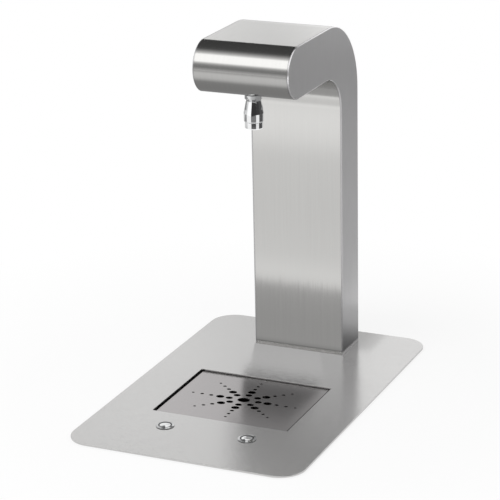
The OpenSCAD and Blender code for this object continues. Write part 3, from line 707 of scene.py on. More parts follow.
def star_plate_tree():
    """Geometry nodes: a rounded plate pierced by a star of ovals, extruded and set in place."""
    group = bpy.data.node_groups.new("star_plate", "GeometryNodeTree")
    net = Net(group)
    kinds = {
        "Width": "Float", "Depth": "Float", "Thickness": "Float", "Corner": "Float", "Rays": "Int",
        "Middle": "Float", "Depth Share": "Float", "First": "Float", "Pitch": "Float", "Shift": "Float",
        "Place": "Vector", "Finish": "Material",
    }
    for label, kind in kinds.items():
        group.interface.new_socket(label, in_out="INPUT", socket_type=f"NodeSocket{kind}")
    group.interface.new_socket("Geometry", in_out="OUTPUT", socket_type="NodeSocketGeometry")
    given = net.node("NodeGroupInput").outputs

    def number(label):
        return Signal(net, given[label])

    def scale(x, y):
        return net.node("ShaderNodeCombineXYZ", {}, {0: x, 1: y, 2: 1.0}).outputs[0]

    def transform(made, **change):
        return net.node("GeometryNodeTransform", {}, {"Geometry": made.outputs[0], **change})

    sheet_sizes = {"Width": given["Width"], "Height": given["Depth"]}
    sheet = net.node("GeometryNodeCurvePrimitiveQuadrilateral", {}, sheet_sizes)
    rounding = {"Curve": sheet.outputs[0], "Count": PLATE_CORNER_POINTS, "Radius": given["Corner"]}
    outline = net.node("GeometryNodeFilletCurve", {"mode": "POLY"}, rounding)
    circle = net.node("GeometryNodeCurvePrimitiveCircle", {}, {"Resolution": OVAL_SIDES, "Radius": 0.5})
    squeeze = number("Depth Share")
    star = net.node("GeometryNodeJoinGeometry")
    middle_hole = transform(circle, Scale=scale(number("Middle"), number("Middle") * squeeze))
    net.feed(star.inputs[0], middle_hole.outputs[0])
    for k, hole_share in enumerate(HOLE_SHARES):
        radius = number("First") + number("Pitch") * k
        ring = net.node("GeometryNodeMeshCircle", {}, {"Vertices": given["Rays"], "Radius": radius})
        length = number("Middle") * hole_share
        pierced = {
            "Points": transform(ring, Scale=scale(1.0, squeeze)).outputs[0],
            "Instance": circle.outputs[0],
            "Scale": scale(length, length * squeeze),
        }
        holes = net.node("GeometryNodeInstanceOnPoints", {}, pierced)
        net.feed(star.inputs[0], holes.outputs[0])
    loose = net.node("GeometryNodeRealizeInstances", {}, {0: star.outputs[0]})
    shift = net.node("ShaderNodeCombineXYZ", {}, {1: given["Shift"]})
    loops = net.node("GeometryNodeJoinGeometry")
    net.feed(loops.inputs[0], outline.outputs[0])
    net.feed(loops.inputs[0], transform(loose, Translation=shift.outputs[0]).outputs[0])
    face = net.node("GeometryNodeFillCurve", {}, {"Curve": loops.outputs[0]})
    up = net.node("ShaderNodeCombineXYZ", {}, {2: 1.0})
    rise = {
        "Mesh": face.outputs[0],
        "Offset": up.outputs[0],
        "Offset Scale": given["Thickness"],
        "Individual": False,
    }
    raised = net.node("GeometryNodeExtrudeMesh", {"mode": "FACES"}, rise)
    under = net.node("GeometryNodeFlipFaces", {}, {0: face.outputs[0]})
    both = net.node("GeometryNodeJoinGeometry")
    net.feed(both.inputs[0], raised.outputs[0])
    net.feed(both.inputs[0], under.outputs[0])
    merged = net.node("GeometryNodeMergeByDistance", {}, {"Geometry": both.outputs[0], "Distance": SLIGHT})
    placed = transform(merged, Translation=given["Place"])
    real = net.node("GeometryNodeRealizeInstances", {}, {0: placed.outputs[0]})
    dressing = {"Geometry": real.outputs[0], "Material": given["Finish"]}
    finished = net.node("GeometryNodeSetMaterial", {}, dressing)
    net.node("NodeGroupOutput", {}, {0: finished.outputs[0]})
    return group


BEVEL_FROM = math.radians(60)
GRILLE_SHARP = math.radians(20)


def nodes_result(group, values, edge):
    """Runs a geometry nodes tree with its named inputs, bevels the result and returns it as a plain mesh."""
    holder = bpy.data.objects.new("nodes_holder", bpy.data.meshes.new("nodes_holder"))
    bpy.context.scene.collection.objects.link(holder)
    modifier = holder.modifiers.new("nodes", "NODES")
    modifier.node_group = group
    for item in group.interface.items_tree:
        if item.in_out == "INPUT":
            modifier[item.identifier] = values[item.name]
    bevel = holder.modifiers.new("edge", "BEVEL")
    bevel.width = edge
    bevel.segments = 2
    bevel.limit_method = "ANGLE"
    bevel.angle_limit = BEVEL_FROM
    seen = holder.evaluated_get(bpy.context.evaluated_depsgraph_get())
    mesh = bpy.data.meshes.new_from_object(seen)
    bpy.data.objects.remove(holder)
    return mesh


def build_grille():
    sizes = chosen("tower_grille")
    deck = chosen("tower_deck")
    width, depth, thickness = GRILLE_HIGH - GRILLE_LOW
    place = middle(GRILLE_LOW, GRILLE_HIGH)
    values = {
        "Width": width, "Depth": depth, "Thickness": thickness, "Corner": sizes.corner, "Rays": sizes.rays,
        "Middle": sizes.middle, "Depth Share": (depth + 2 * deck.end_gap) / (width + 2 * deck.side_gap),
        "First": sizes.first, "Pitch": sizes.pitch, "Shift": sizes.shift,
        "Place": (place.x, place.y, GRILLE_LOW.z), "Finish": finish("grille_steel"),
    }
    mesh = nodes_result(star_plate_tree(), values, sizes.edge)
    mesh.name = "star_grille"
    mesh.polygons.foreach_set("use_smooth", [True] * len(mesh.polygons))
    mesh.set_sharp_from_angle(angle=GRILLE_SHARP)
    even_normals(place_piece(mesh, "star_grille", "grille_steel", "grille", ["drain_grille"]))


# Spout


# Roundings of the spout's and the buttons' edges
KEEN, CRISP, FINE, EASED, SOFT, FULL = 0.0002, 0.0003, 0.0004, 0.0005, 0.0007, 0.0008
CONE_FOOT_ROUND, BEZEL_ROUND, BEZEL_FOOT_ROUND = 0.0012, 0.002, 0.0001


def add_turned(outline, axis, name, body, node, metal="chrome", shades=None):
    """A turned piece of bright metal. Shades are a height and the tones of the rings above it."""
    bm = turned(outline, axis)
    if shades:
        shade_rings(bm, axis, *shades)
    even_normals(add_piece(bm, name, metal, body, [node]))


def build_collar(sizes, axis):
    radius = COLLAR_HIGH.x - axis.x
    bevel = sizes.collar_bevel
    collar = softened([
        (sizes.shank, COLLAR_HIGH.z, 0),
        (radius, COLLAR_HIGH.z, CRISP),
        (radius, COLLAR_LOW.z + bevel, FULL),
        (radius - bevel, COLLAR_LOW.z, EASED),
        (sizes.shank, COLLAR_LOW.z, 0),
    ])
    add_turned(collar, axis, "collar_ring", "tower", "spout_collar")


def build_nozzle(sizes, axis):
    band = NOZZLE_HIGH.x - axis.x
    cone_high = NOZZLE_HIGH.z - sizes.neck_height
    cone_low = cone_high - sizes.cone_height
    band_low = cone_low - sizes.band_height
    chamber_high = cone_low + sizes.wall
    nozzle = softened([
        (sizes.shank, NOZZLE_HIGH.z, 0),
        (sizes.neck, NOZZLE_HIGH.z, 0),
        (sizes.neck, cone_high, CRISP),
        (sizes.cone_top, cone_high, EASED),
        (band, cone_low, CONE_FOOT_ROUND),
        (band - sizes.band_taper, band_low, SOFT),
        (sizes.spigot, band_low, CRISP),
        (sizes.spigot, NOZZLE_LOW.z, 0),
        (sizes.chamber, NOZZLE_LOW.z, 0),
        (sizes.chamber, chamber_high, 0),
        (sizes.shank, chamber_high, 0),
    ])
    add_turned(nozzle, axis, "nozzle_shell", "tower", "nozzle_body")


def build_outlet(sizes, axis):
    radius = OUTLET_HIGH.x - axis.x
    gap = sizes.fit_gap
    seat = INSERT_HIGH.x - axis.x + gap
    outlet = softened([
        (sizes.spigot + gap, OUTLET_HIGH.z, KEEN),
        (radius, OUTLET_HIGH.z, EASED),
        (radius, OUTLET_LOW.z, sizes.foot_round),
        (sizes.lip, OUTLET_LOW.z, SOFT),
        (sizes.lip, INSERT_LOW.z - gap, 0),
        (seat, INSERT_LOW.z - gap, 0),
        (seat, NOZZLE_LOW.z - gap, 0),
        (sizes.spigot + gap, NOZZLE_LOW.z - gap, 0),
    ])
    add_turned(outlet, axis, "outlet_shell", "tower", "outlet_ring")


def build_spout():
    sizes = chosen("tower_spout")
    axis = middle(COLLAR_LOW, COLLAR_HIGH)
    build_collar(sizes, axis)
    build_nozzle(sizes, axis)
    build_outlet(sizes, axis)


# Buttons


# Shares of shade on the bezel's crest and its slope, and on the cap's top and its edge
BEZEL_CREST_SHADE, BEZEL_SLOPE_SHADE = 0.95, 0.4
CAP_SHADE, CAP_EDGE_SHADE = 0.12, 0.95


def dome(radius, height, top, steps=10):
    """Points of a shallow dome from its rim to its pole."""
    return [(radius * (1 - k / steps), top - height * (1 - k / steps) ** 2) for k in range(steps + 1)]


def shade_rings(bm, axis, above, tones):
    """Marks a round piece's rings over a height. Tones are (radius, share), each outside its radius."""
    shaded = bm.faces.layers.float.new("shaded")
    for face in bm.faces:
        place = face.calc_center_median()
        reach = (place - axis).xy.length
        if place.z > above:
            face[shaded] = [share_dark for radius, share_dark in tones if reach >= radius][-1]


def build_bezel(sizes, side, axis, seat):
    low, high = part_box(f"{side}_button_housing")
    neck = sizes.cap + sizes.slide_gap
    crest = neck + sizes.crest
    chamber = sizes.skirt + sizes.slide_gap
    pin_hole = sizes.pin + sizes.slide_gap
    skirt_high = high.z - sizes.skirt_top
    chamber_high = skirt_high + sizes.slide_gap
    floor_high = skirt_high - sizes.skirt_height - sizes.floor_gap
    floor_low = floor_high - sizes.floor
    bezel = softened([
        (neck, high.z, KEEN),
        (crest, high.z, BEZEL_ROUND),
        (high.x - axis.x, seat + sizes.rim, FINE),
        (high.x - axis.x, seat, BEZEL_FOOT_ROUND),
        (sizes.barrel, seat, 0),
        (sizes.barrel, low.z, FINE),
        (chamber, low.z, 0),
        (chamber, floor_low, 0),
        (pin_hole, floor_low, 0),
        (pin_hole, floor_high, 0),
        (chamber, floor_high, 0),
        (chamber, chamber_high, 0),
        (neck, chamber_high, 0),
    ])
    shades = (seat, ((0, BEZEL_CREST_SHADE), (crest, BEZEL_SLOPE_SHADE)))
    add_turned(bezel, axis, f"{side}_bezel", "tower", f"{side}_button_housing", "button_chrome", shades)


def build_cap(sizes, side, axis, seat):
    low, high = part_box(f"{side}_button_cap")
    skirt_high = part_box(f"{side}_button_housing")[1].z - sizes.skirt_top
    skirt_low = skirt_high - sizes.skirt_height
    cap = [
        *reversed(dome(sizes.cap - KEEN, sizes.dome, high.z)),
        (sizes.cap, high.z - sizes.dome - CRISP),
        (sizes.cap, skirt_high),
        (sizes.skirt, skirt_high),
        (sizes.skirt, skirt_low),
        (sizes.pin, skirt_low),
        (sizes.pin, low.z),
        (0, low.z),
    ]
    shades = (seat, ((0, CAP_SHADE), (sizes.cap - sizes.crest, CAP_EDGE_SHADE)))
    add_turned(cap, axis, f"{side}_cap_dome", f"{side}_cap", f"{side}_button_cap", "button_chrome", shades)


def build_buttons():
    sizes = chosen("tower_buttons")
    for side in ("left", "right"):
        axis = middle(*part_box(f"{side}_button_housing"))
        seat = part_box(f"{side}_button_seal")[1].z
        build_bezel(sizes, side, axis, seat)
        build_cap(sizes, side, axis, seat)


# Pieces whose shape stays as it is in the frame


def dress_plain_pieces():
    """Gives every node its finish, named by the record."""
    for part in frame["record"]["subparts"]:
        node = frame["nodes"][part["node"]]
        if not node.material_slots:
            node.data.materials.append(finish(part["material_slot"]))
        for held in node.material_slots:
            held.material = finish(part["material_slot"])


# Stage


CARD_LEFT, CARD_RIGHT = -3.2, 2.2
DARK_REACH, LIGHT_REACH, WALL_REACH, SKY_REACH = 0.28, 2.6, 2.9, 2.7
# Widest facets of the round cards, in degrees
NOSE_STEP, WALL_STEP, RING_STEP = 6, 8, 12
# Heights of the walls' and the sky's steps, and of the flat cards over what they lie on
HAZE_HIGH, WALL_HIGH, SKY_STEP, SKY_HIGH = 0.38, 0.85, 1.78, 3.3
OVER_FLOOR, OVER_RINGS, OVER_DECK = 0.0005, 0.001, 0.0065
# Far points that the lit side of a card faces
BEHIND, IN_FRONT, ABOVE, BELOW = (0, 9, 0), (0, -9, 0), (0, 0, 9), (0, 0, -9)

# Degrees over the front horizon as the nose sees them, and the grey there
DARK_TONES = ((149, 0.06), (99, 0.08), (90, 0.09), (84, 0.12))
LIGHT_TONES = (
    (88, 0.1), (83, 0.2), (77, 0.35), (70, 0.65), (64, 0.95), (59, 1.65), (28, 1.65), (24, 1.0), (20, 0.66),
    (16, 0.44), (11, 0.32), (3, 0.28), (-3, 0.45), (-8, 0.55), (-9, 0.5),
)
# Places on the floor in front of the deck, and at each side behind the tower
FRONT_FLOOR_TONES = ((-2.6, 0.7), (-0.9, 0.98), (-0.667, 0.95), (-0.54, 0.92), (-0.38, 0.9), (-0.24, 0.93))
BACK_FLOOR_TONES = (
    (0.25, 0.56), (0.45, 0.6), (0.7, 0.62), (1.04, 0.61), (1.375, 0.56), (1.46, 0.42), (1.9, 0.33),
)
BACK_FLOOR_NEAR, BACK_FLOOR_FAR = 0.16, 1.1
# Places on the deck in front of the column and beside its foot
NEAR_TONES = (
    (-0.245, 0.93), (-0.19, 0.94), (-0.15, 1.0), (-0.12, 1.07), (-0.09, 1.08), (-0.076, 1.0), (-0.064, 0.62),
    (-0.05, 0.53), (-0.034, 0.51), (0.0, 0.49), (0.055, 0.47), (0.125, 0.47), (0.136, 0.4), (0.1415, 0.2),
)
NEAR_HALF_WIDTH = 0.23
FOOT_TONES = (
    (0.12, 0.12), (0.165, 0.15), (0.195, 0.23), (0.222, 0.4), (0.245, 0.56), (0.268, 0.64), (0.31, 0.62),
)
FOOT_GAP, FOOT_RIGHT = 0.0004, 0.25
# Places from left to right of the card over the deck's strip behind the column
HEEL_TONES = ((0.02, 0.66), (0.048, 0.68), (0.06, 0.78), (0.075, 0.95))
HEEL_FRONT, HEEL_BACK, HEEL_HEIGHT = 0.205, 0.295, 0.02
# Heights of the card that lights the column's upper half
UPPER_TONES = (
    (0.12, 0.92), (0.158, 0.93), (0.168, 0.97), (0.18, 1.06), (0.19, 1.13), (0.213, 1.19), (0.237, 1.17),
    (0.25, 1.05), (0.262, 0.85),
)
UPPER_LEFT, UPPER_RIGHT, UPPER_PLACE = -0.35, 0.2, -0.15
# Heights of the column's front as the deck reflects it: left end, seam, and the grey of each half
COLUMN_TONES = (
    (0.0035, -0.0625, 0.03, 0.66, 0.62), (0.035, -0.07, 0.034, 0.7, 0.62), (0.046, -0.077, 0.036, 0.66, 0.6),
    (0.054, -0.081, 0.03, 0.17, 0.59), (0.08, -0.084, 0.006, 0.18, 0.54), (0.1, -0.084, -0.013, 0.25, 0.5),
    (0.112, -0.084, -0.024, 0.4, 0.47), (0.13, -0.086, -0.024, 0.47, 0.45),
    (0.15, -0.087, -0.024, 0.42, 0.41), (0.18, -0.087, -0.024, 0.38, 0.37),
    (0.24, -0.087, -0.024, 0.38, 0.37),
)
COLUMN_GAP = 0.0005
# Strip beside the column's left end, from a height upwards
EDGE_WIDTH, EDGE_FROM, EDGE_TONE = 0.022, 0.09, 0.68
# Places under the nose's front
LIP_TONES = (
    (-0.28, 0.56), (-0.21, 0.56), (-0.167, 0.72), (-0.138, 0.8), (-0.1, 0.79), (-0.077, 0.76),
    (-0.0637, 0.68), (-0.0572, 0.57), (-0.0518, 0.5), (-0.0469, 0.4), (-0.0424, 0.34), (-0.03, 0.31),
    (0.0, 0.29), (0.05, 0.3),
)
LIP_LEFT, LIP_RIGHT, LIP_HEIGHT = -0.25, 0.15, 0.36
# Square under the outlet ring that lights its foot
RIM_HALF_WIDTH, RIM_HEIGHT, RIM_TONE = 0.02, 0.3305, 1.15
# Degrees from the front to the right, as the nozzle's cone sees the two small cards in front of it
KEY_TONES = ((-65.5, 0.75), (-60, 0.85), (-52.5, 1.15), (-6.8, 1.2))
FLAG_TONES = ((-6.5, 0.04), (55, 0.04))
# Where those two cards stand at their foot and at their top, as (y, z)
CONE_CARD_FOOT, CONE_CARD_TOP = (-0.0085, 0.3505), (-0.003, 0.371)
# Places from left to right of the card in front of the collar
COLLAR_TONES = ((-0.051, 0.6), (-0.012, 0.8), (-0.004, 0.85), (0.003, 0.5), (0.036, 0.15))
COLLAR_CARD_FOOT, COLLAR_CARD_TOP, COLLAR_CARD_DROP = -0.0055, -0.004, 0.001
# Degrees from the front to the right, as the nozzle sees a wall round the tower
WALL_TONES = ((-150, 0.42), (-104, 0.42), (-92, 0.7), (-78, 0.8), (-66, 0.62), (-60, 0.7), (-52, 0.9))
DARK_WALL_TONES = ((-2, 0.05), (90, 0.05), (100, 0.08), (165, 0.08))
# The same behind the tower: next to the floor, low as the deck sees it, high as the buttons see it
HAZE_TONES = ((-134, 0.68), (-172, 0.68))
LOW_SKY_TONES = (
    (-134, 0.95), (-151, 1.05), (-153.5, 0.96), (-155.5, 0.9), (-157, 0.85), (-159, 0.92), (-161, 1.12),
    (-166, 1.18), (-172, 0.9),
)
HIGH_SKY_TONES = (
    (-134, 0.9), (-140, 0.8), (-143, 0.35), (-149.5, 0.1), (-151.5, 1.15), (-161, 1.2), (-162.5, 0.3),
    (-167, 0.12), (-172, 0.6), (-178, 0.8),
)
# Sectors of the floor as the nozzle sees them, from one bearing to another, with a grey at each reach
RING_REACHES = (0.95, 1.17, 1.21, 1.33, 1.37, 1.43, 1.48, 2.3)
RING_TONES = {
    (-158, -62): (0.3, 0.3, 0.72, 0.72, 0.45, 0.45, 0.45, 0.45),
    (-60, -12): (1.02, 1.02, 1.05, 1.05, 0.42, 0.42, 0.42, 0.42),
    (-10, 50): (0.22, 0.22, 0.07, 0.07, 0.38, 0.38, 0.3, 0.3),
    (55, 84): (0.95, 0.95, 0.9, 0.9, 0.3, 0.4, 1.9, 1.9),
    (88, 145): (0.1, 0.1, 0.08, 0.08, 0.08, 0.08, 0.08, 0.08),
}


def one_sided(net, front):
    """Closes a net with a surface whose back is clear."""
    clear = net.node("ShaderNodeBsdfTransparent")
    back = net.node("ShaderNodeNewGeometry").outputs["Backfacing"]
    sides = net.node("ShaderNodeMixShader", {}, {0: back, 1: front.outputs[0], 2: clear.outputs[0]})
    net.node("ShaderNodeOutputMaterial", {}, {"Surface": sides.outputs[0]})


def card_finish():
    """Light of the card's own grey, from its front only."""
    if "card" not in bpy.data.materials:
        net = new_finish("card")
        tone = net.node("ShaderNodeAttribute", {"attribute_name": "tone"}).outputs["Color"]
        one_sided(net, net.node("ShaderNodeEmission", {}, {"Color": tone, "Strength": 1.0}))
        bpy.data.materials["card"].cycles.emission_sampling = "NONE"
    return bpy.data.materials["card"]


def card(name, rows, facing):
    """A card that only reflections see. A row is two points and a grey, and greys blend from row to row."""
    points = [Vector(point) for first, second, _ in rows for point in (first, second)]
    front = (points[1] - points[0]).cross(points[3] - points[1])
    order = (0, 1, 3, 2) if front.dot(Vector(facing) - points[0]) > 0 else (0, 2, 3, 1)
    faces = [tuple(2 * k + corner for corner in order) for k in range(len(rows) - 1)]
    mesh = bpy.data.meshes.new(name)
    mesh.from_pydata(points, [], faces)
    tones = mesh.attributes.new("tone", "FLOAT_COLOR", "POINT")
    for k, (_, _, grey) in enumerate(rows):
        tones.data[2 * k].color = tones.data[2 * k + 1].color = (grey, grey, grey, 1)
    mesh.materials.append(card_finish())
    made = bpy.data.objects.new(name, mesh)
    bpy.context.scene.collection.objects.link(made)
    made.visible_camera = False
    made.visible_diffuse = False
    made.visible_shadow = False
    made.visible_transmission = False


def blended(tones, step):
    """Rows between the given ones, so that no card's facet is wider than a step."""
    rows = []
    for (start, first), (end, second) in zip(tones, tones[1:]):
        parts = max(1, math.ceil(abs(end - start) / step))
        shares = [k / parts for k in range(parts)]
        rows += [(start + (end - start) * part, first + (second - first) * part) for part in shares]
    return rows + [tones[-1]]


def nose_card(name, tones, reach):
    """A round card about the nose's axis."""
    radius = chosen("tower_column").arm / 2
    axis = Vector((0, CHEEK_LOW.y + radius, CHEEK_HIGH.z - radius))
    left, right = CARD_LEFT * reach / LIGHT_REACH, CARD_RIGHT * reach / LIGHT_REACH
    rows = []
    for degrees, grey in blended(tones, NOSE_STEP):
        angle = math.radians(degrees)
        y, z = axis.y - reach * math.cos(angle), axis.z + reach * math.sin(angle)
        rows.append(((left, y, z), (right, y, z), grey))
    card(name, rows, axis)


def level_card(name, tones, left, right, height):
    """A flat card that faces up, whose rows run from front to back."""
    card(name, [((left, y, height), (right, y, height), grey) for y, grey in tones], ABOVE)


def floor_cards():
    level_card("front_floor_card", FRONT_FLOOR_TONES, CARD_LEFT, 0.0, OVER_FLOOR)
    level_card("back_floor_right_card", BACK_FLOOR_TONES, BACK_FLOOR_NEAR, BACK_FLOOR_FAR, OVER_FLOOR)
    level_card("back_floor_left_card", BACK_FLOOR_TONES, -BACK_FLOOR_FAR, -BACK_FLOOR_NEAR, OVER_FLOOR)


def deck_cards():
    """Cards over the deck: for the column's front, for its right cheek and for the deck behind it."""
    level_card("near_card", NEAR_TONES, -NEAR_HALF_WIDTH, NEAR_HALF_WIDTH, OVER_DECK)
    level_card("foot_card", FOOT_TONES, CHEEK_HIGH.x + FOOT_GAP, FOOT_RIGHT, OVER_DECK)
    heel = [((x, HEEL_FRONT, HEEL_HEIGHT), (x, HEEL_BACK, HEEL_HEIGHT), grey) for x, grey in HEEL_TONES]
    card("heel_card", heel, BELOW)


def column_cards():
    """A card that lights the column's upper half, and cards on its front that only the deck sees."""
    upper = [((UPPER_LEFT, UPPER_PLACE, z), (UPPER_RIGHT, UPPER_PLACE, z), grey) for z, grey in UPPER_TONES]
    card("upper_card", upper, BEHIND)
    face = CHEEK_HIGH.y - chosen("tower_column").depth - COLUMN_GAP
    left, right, edge = [], [], []
    for z, end, seam, left_grey, right_grey in COLUMN_TONES:
        left.append(((end, face, z), (seam, face, z), left_grey))
        right.append(((seam, face, z), (CHEEK_HIGH.x, face, z), right_grey))
        if z > EDGE_FROM:
            edge.append(((end - EDGE_WIDTH, face, z), (end, face, z), EDGE_TONE))
    card("column_left_card", left, IN_FRONT)
    card("column_right_card", right, IN_FRONT)
    card("column_edge_card", edge, IN_FRONT)


def cone_card(name, tones, axis):
    """A card in front of the nozzle's cone that leans back, so that the nose sees only its clear back."""
    radius = (chosen("tower_spout").cone_top + NOZZLE_HIGH.x - axis.x) / 2
    camera_bearing = chosen("tower_stage").azimuth

    def place(degrees, y, z):
        """Where the camera's ray passes once the cone has turned it to this bearing."""
        bearing = math.radians(degrees)
        struck = (bearing + camera_bearing) / 2
        struck_x, struck_y = radius * math.sin(struck), axis.y - radius * math.cos(struck)
        return (struck_x + math.tan(bearing) * (struck_y - y), y, z)

    rows = [(place(a, *CONE_CARD_FOOT), place(a, *CONE_CARD_TOP), grey) for a, grey in tones]
    card(name, rows, BEHIND)


def spout_cards():
    """Cards that the nose's underside, the outlet ring's foot, the nozzle's cone and the collar see."""
    axis = middle(NOZZLE_LOW, NOZZLE_HIGH)
    level_card("lip_card", LIP_TONES, LIP_LEFT, LIP_RIGHT, LIP_HEIGHT)
    rim = ((axis.y - RIM_HALF_WIDTH, RIM_TONE), (axis.y + RIM_HALF_WIDTH, RIM_TONE))
    level_card("rim_card", rim, -RIM_HALF_WIDTH, RIM_HALF_WIDTH, RIM_HEIGHT)
    cone_card("key_card", KEY_TONES, axis)
    cone_card("flag_card", FLAG_TONES, axis)
    foot, top = (COLLAR_CARD_FOOT, COLLAR_LOW.z - COLLAR_CARD_DROP), (COLLAR_CARD_TOP, COLLAR_HIGH.z)
    card("collar_card", [((x, *foot), (x, *top), grey) for x, grey in COLLAR_TONES], BEHIND)


def around(degrees, reach, height):
    """A place round the tower, turned from the front towards the right."""
    bearing = math.radians(degrees)
    return (reach * math.sin(bearing), -reach * math.cos(bearing), height)


def wall_card(name, tones, reach, low, high):
    rows = [(around(a, reach, low), around(a, reach, high), grey) for a, grey in blended(tones, WALL_STEP)]
    card(name, rows, STAGE_MIDDLE)


def wall_cards():
    wall_card("wall_card", WALL_TONES, WALL_REACH, 0.0, WALL_HIGH)
    wall_card("dark_wall_card", DARK_WALL_TONES, WALL_REACH, 0.0, WALL_HIGH)
    wall_card("haze_card", HAZE_TONES, SKY_REACH, 0.0, HAZE_HIGH)
    wall_card("low_sky_card", LOW_SKY_TONES, SKY_REACH, HAZE_HIGH, SKY_STEP)
    wall_card("high_sky_card", HIGH_SKY_TONES, SKY_REACH, SKY_STEP, SKY_HIGH)


def ring_cards():
    """Sectors of the floor, each cut into narrow strips with a grey at every reach."""
    for (start, end), greys in RING_TONES.items():
        parts = math.ceil((end - start) / RING_STEP)
        bearings = [start + (end - start) * k / parts for k in range(parts + 1)]
        for first, second in zip(bearings, bearings[1:]):
            rows = [
                (around(first, reach, OVER_RINGS), around(second, reach, OVER_RINGS), grey)
                for reach, grey in zip(RING_REACHES, greys)
            ]
            card(f"ring_card_{first:.0f}", rows, STAGE_MIDDLE)


def build_cards():
    nose_card("dark_card", DARK_TONES, DARK_REACH)
    nose_card("light_card", LIGHT_TONES, LIGHT_REACH)
    floor_cards()
    deck_cards()
    column_cards()
    spout_cards()
    wall_cards()
    ring_cards()


FLOOR_REACH = 30.0
FLOOR_GREY = 0.9
# Distances from the deck's edges to the hole in the floor, through which its underside hangs
HOLE_SIDE, HOLE_FRONT, HOLE_BACK = 0.035, 0.019, 0.017
# Share of the floor that is plain white next to the object, how far that holds, and its rise beyond
WHITE_SHARE, WHITE_FROM, WHITE_RISE = 0.75, 0.3, 0.8


def seen_rays(net):
    """One for rays from the camera and for reflected and refracted ones, otherwise nothing."""
    path = net.node("ShaderNodeLightPath").outputs
    kinds = [Signal(net, path[kind]) for kind in ("Is Camera Ray", "Is Glossy Ray", "Is Transmission Ray")]
    return net.math("MINIMUM", kinds[0] + kinds[1] + kinds[2], 1.0)


def floor_finish():
    """Matt pale grey that takes the shadow, blended into plain white for the rays that are seen."""
    net = new_finish("floor")
    matt = net.node("ShaderNodeBsdfDiffuse", {}, {"Color": (FLOOR_GREY, FLOOR_GREY, FLOOR_GREY, 1)})
    white = net.node("ShaderNodeEmission", {}, {"Color": (1, 1, 1, 1), "Strength": 1.0})
    away = net.length(net.object_place())
    rise = net.math("MAXIMUM", (away - WHITE_FROM) * WHITE_RISE, 0.0)
    share_white = net.math("MINIMUM", rise + WHITE_SHARE, 1.0) * seen_rays(net)
    both = net.node("ShaderNodeMixShader", {}, {0: share_white, 1: matt.outputs[0], 2: white.outputs[0]})
    one_sided(net, both)
    bpy.data.materials["floor"].cycles.emission_sampling = "NONE"
    return bpy.data.materials["floor"]


def build_floor():
    """A white floor with a hole under the plate, which keeps the object's shadow."""
    bm = bmesh.new()
    low = DECK_LOW + Vector((HOLE_SIDE, HOLE_FRONT, 0))
    high = DECK_HIGH - Vector((HOLE_SIDE, HOLE_BACK, 0))

    def ring(x0, y0, x1, y1):
        return [bm.verts.new((x, y, 0)) for x, y in ((x0, y0), (x1, y0), (x1, y1), (x0, y1))]

    outer = ring(-FLOOR_REACH, -FLOOR_REACH, FLOOR_REACH, FLOOR_REACH)
    inner = ring(low.x, low.y, high.x, high.y)
    for k in range(len(outer)):
        bm.faces.new((outer[k - 1], outer[k], inner[k], inner[k - 1]))
    mesh = bpy.data.meshes.new("floor")
    bm.to_mesh(mesh)
    bm.free()
    mesh.materials.append(floor_finish())
    floor = bpy.data.objects.new("floor", mesh)
    bpy.context.scene.collection.objects.link(floor)


def build_world(ambient):
    """A white sky for the rays that are seen, and even light of the given strength for all others."""
    world = bpy.data.worlds.new("studio")
    world.use_nodes = True
    net = Net(world.node_tree)
    strength = seen_rays(net) * (1 - ambient) + ambient
    sky = net.node("ShaderNodeBackground", {}, {"Color": (1, 1, 1, 1), "Strength": strength})
    net.node("ShaderNodeOutputWorld", {}, {"Surface": sky.outputs[0]})
    bpy.context.scene.world = world


def build_lamp(settings):
    """A soft square lamp at the upper left, which reflections don't show."""
    light = bpy.data.lights.new("soft_lamp", "AREA")
    light.shape = "SQUARE"
    light.size = settings.lamp_size
    light.energy = settings.lamp_power
    lamp = bpy.data.objects.new("soft_lamp", light)
    bpy.context.scene.collection.objects.link(lamp)
    lamp.location = settings.lamp_place
    lamp.rotation_euler = (STAGE_MIDDLE - lamp.location).to_track_quat("-Z", "Y").to_euler()
    lamp.visible_glossy = False


def build_camera(settings):
    az, el, roll = settings.azimuth, settings.elevation, settings.roll
    back = Vector((math.sin(az) * math.cos(el), -math.cos(az) * math.cos(el), math.sin(el)))
    level = Vector((math.cos(az), math.sin(az), 0))
    rise = back.cross(level)
    right = level * math.cos(roll) + rise * math.sin(roll)
    up = rise * math.cos(roll) - level * math.sin(roll)
    camera = bpy.data.objects.new("camera", bpy.data.cameras.new("camera"))
    camera.data.lens = settings.lens
    camera.data.sensor_width = 36
    camera.data.clip_end = 100
    turned_to = Matrix((right, up, back)).transposed().to_4x4()
    camera.matrix_world = Matrix.Translation(settings.place) @ turned_to
    bpy.context.scene.collection.objects.link(camera)
    bpy.context.scene.camera = camera


def build_stage():
    settings = chosen("tower_stage")
    build_floor()
    build_cards()
    build_world(settings.ambient)
    build_lamp(settings)
    build_camera(settings)
    bpy.context.scene.view_settings.view_transform = "Standard"


# Operators and panel


class TOWER_OT_finishes(bpy.types.Operator):
    """Make the brushed, satin, plated and moulded finishes"""

    bl_idname = "tower.finishes"
    bl_label = "Finishes"

    def execute(self, context):
        build_finishes()
        return {"FINISHED"}


class TOWER_OT_deck(bpy.types.Operator):
    """Make the deck plate with its tray opening and button holes"""

    bl_idname = "tower.deck"
    bl_label = "Deck plate"

    def execute(self, context):
        build_deck()
        return {"FINISHED"}


class TOWER_OT_cheeks(bpy.types.Operator):
    """Make the two flat cheeks of the column"""

    bl_idname = "tower.cheeks"
    bl_label = "Cheeks"

    def execute(self, context):
        build_cheeks()
        return {"FINISHED"}


class TOWER_OT_skins(bpy.types.Operator):
    """Make the bent sheets between the cheeks"""

    bl_idname = "tower.skins"
    bl_label = "Bent sheets"

    def execute(self, context):
        build_skins()
        return {"FINISHED"}


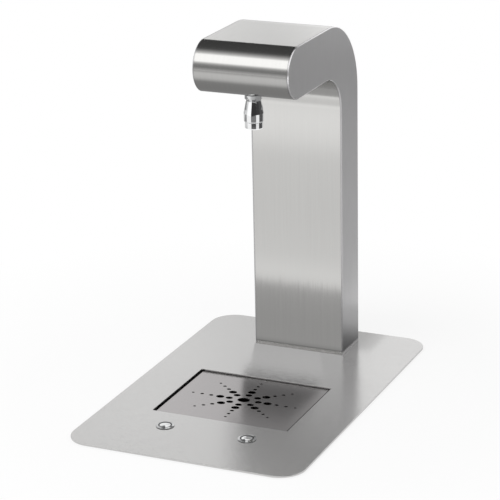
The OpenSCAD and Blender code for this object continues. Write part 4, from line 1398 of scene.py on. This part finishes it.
class TOWER_OT_grille(bpy.types.Operator):
    """Make the drain grille with its star of holes"""

    bl_idname = "tower.grille"
    bl_label = "Drain grille"

    def execute(self, context):
        build_grille()
        return {"FINISHED"}


class TOWER_OT_spout(bpy.types.Operator):
    """Make the collar, nozzle and outlet ring"""

    bl_idname = "tower.spout"
    bl_label = "Spout"

    def execute(self, context):
        build_spout()
        return {"FINISHED"}


class TOWER_OT_buttons(bpy.types.Operator):
    """Make the two push buttons"""

    bl_idname = "tower.buttons"
    bl_label = "Push buttons"

    def execute(self, context):
        build_buttons()
        return {"FINISHED"}


class TOWER_OT_plain_pieces(bpy.types.Operator):
    """Dress the pieces that keep the frame's own shape"""

    bl_idname = "tower.plain_pieces"
    bl_label = "Hidden pieces"

    def execute(self, context):
        dress_plain_pieces()
        return {"FINISHED"}


class TOWER_OT_stage(bpy.types.Operator):
    """Set up the floor, reflection cards, lamp, world and camera"""

    bl_idname = "tower.stage"
    bl_label = "Stage"

    def execute(self, context):
        build_stage()
        return {"FINISHED"}


OPERATORS = (
    TOWER_OT_finishes,
    TOWER_OT_deck,
    TOWER_OT_cheeks,
    TOWER_OT_skins,
    TOWER_OT_grille,
    TOWER_OT_spout,
    TOWER_OT_buttons,
    TOWER_OT_plain_pieces,
    TOWER_OT_stage,
)


class TOWER_PT_panel(bpy.types.Panel):
    """Lists the tower's sizes, colours and pieces"""

    bl_idname = "TOWER_PT_panel"
    bl_label = "Water Tower"
    bl_space_type = "VIEW_3D"
    bl_region_type = "UI"
    bl_category = "Water Tower"

    def draw(self, context):
        for name, group in GROUPS.items():
            box = self.layout.box()
            for key in group.__annotations__:
                box.prop(getattr(context.scene, name), key)
        for operator in OPERATORS:
            self.layout.operator(operator.bl_idname)


def register():
    for made in (*GROUPS.values(), *OPERATORS, TOWER_PT_panel):
        bpy.utils.register_class(made)
    for name, group in GROUPS.items():
        setattr(bpy.types.Scene, name, bpy.props.PointerProperty(type=group))


def unregister():
    for name in GROUPS:
        delattr(bpy.types.Scene, name)
    for made in reversed((*GROUPS.values(), *OPERATORS, TOWER_PT_panel)):
        bpy.utils.unregister_class(made)


def main():
    register()
    for operator in OPERATORS:
        step = operator.bl_idname.split(".")[1]
        if getattr(bpy.ops.tower, step)() != {"FINISHED"}:
            raise RuntimeError(f"{operator.bl_label} didn't finish")


if __name__ == "__main__":
    main()
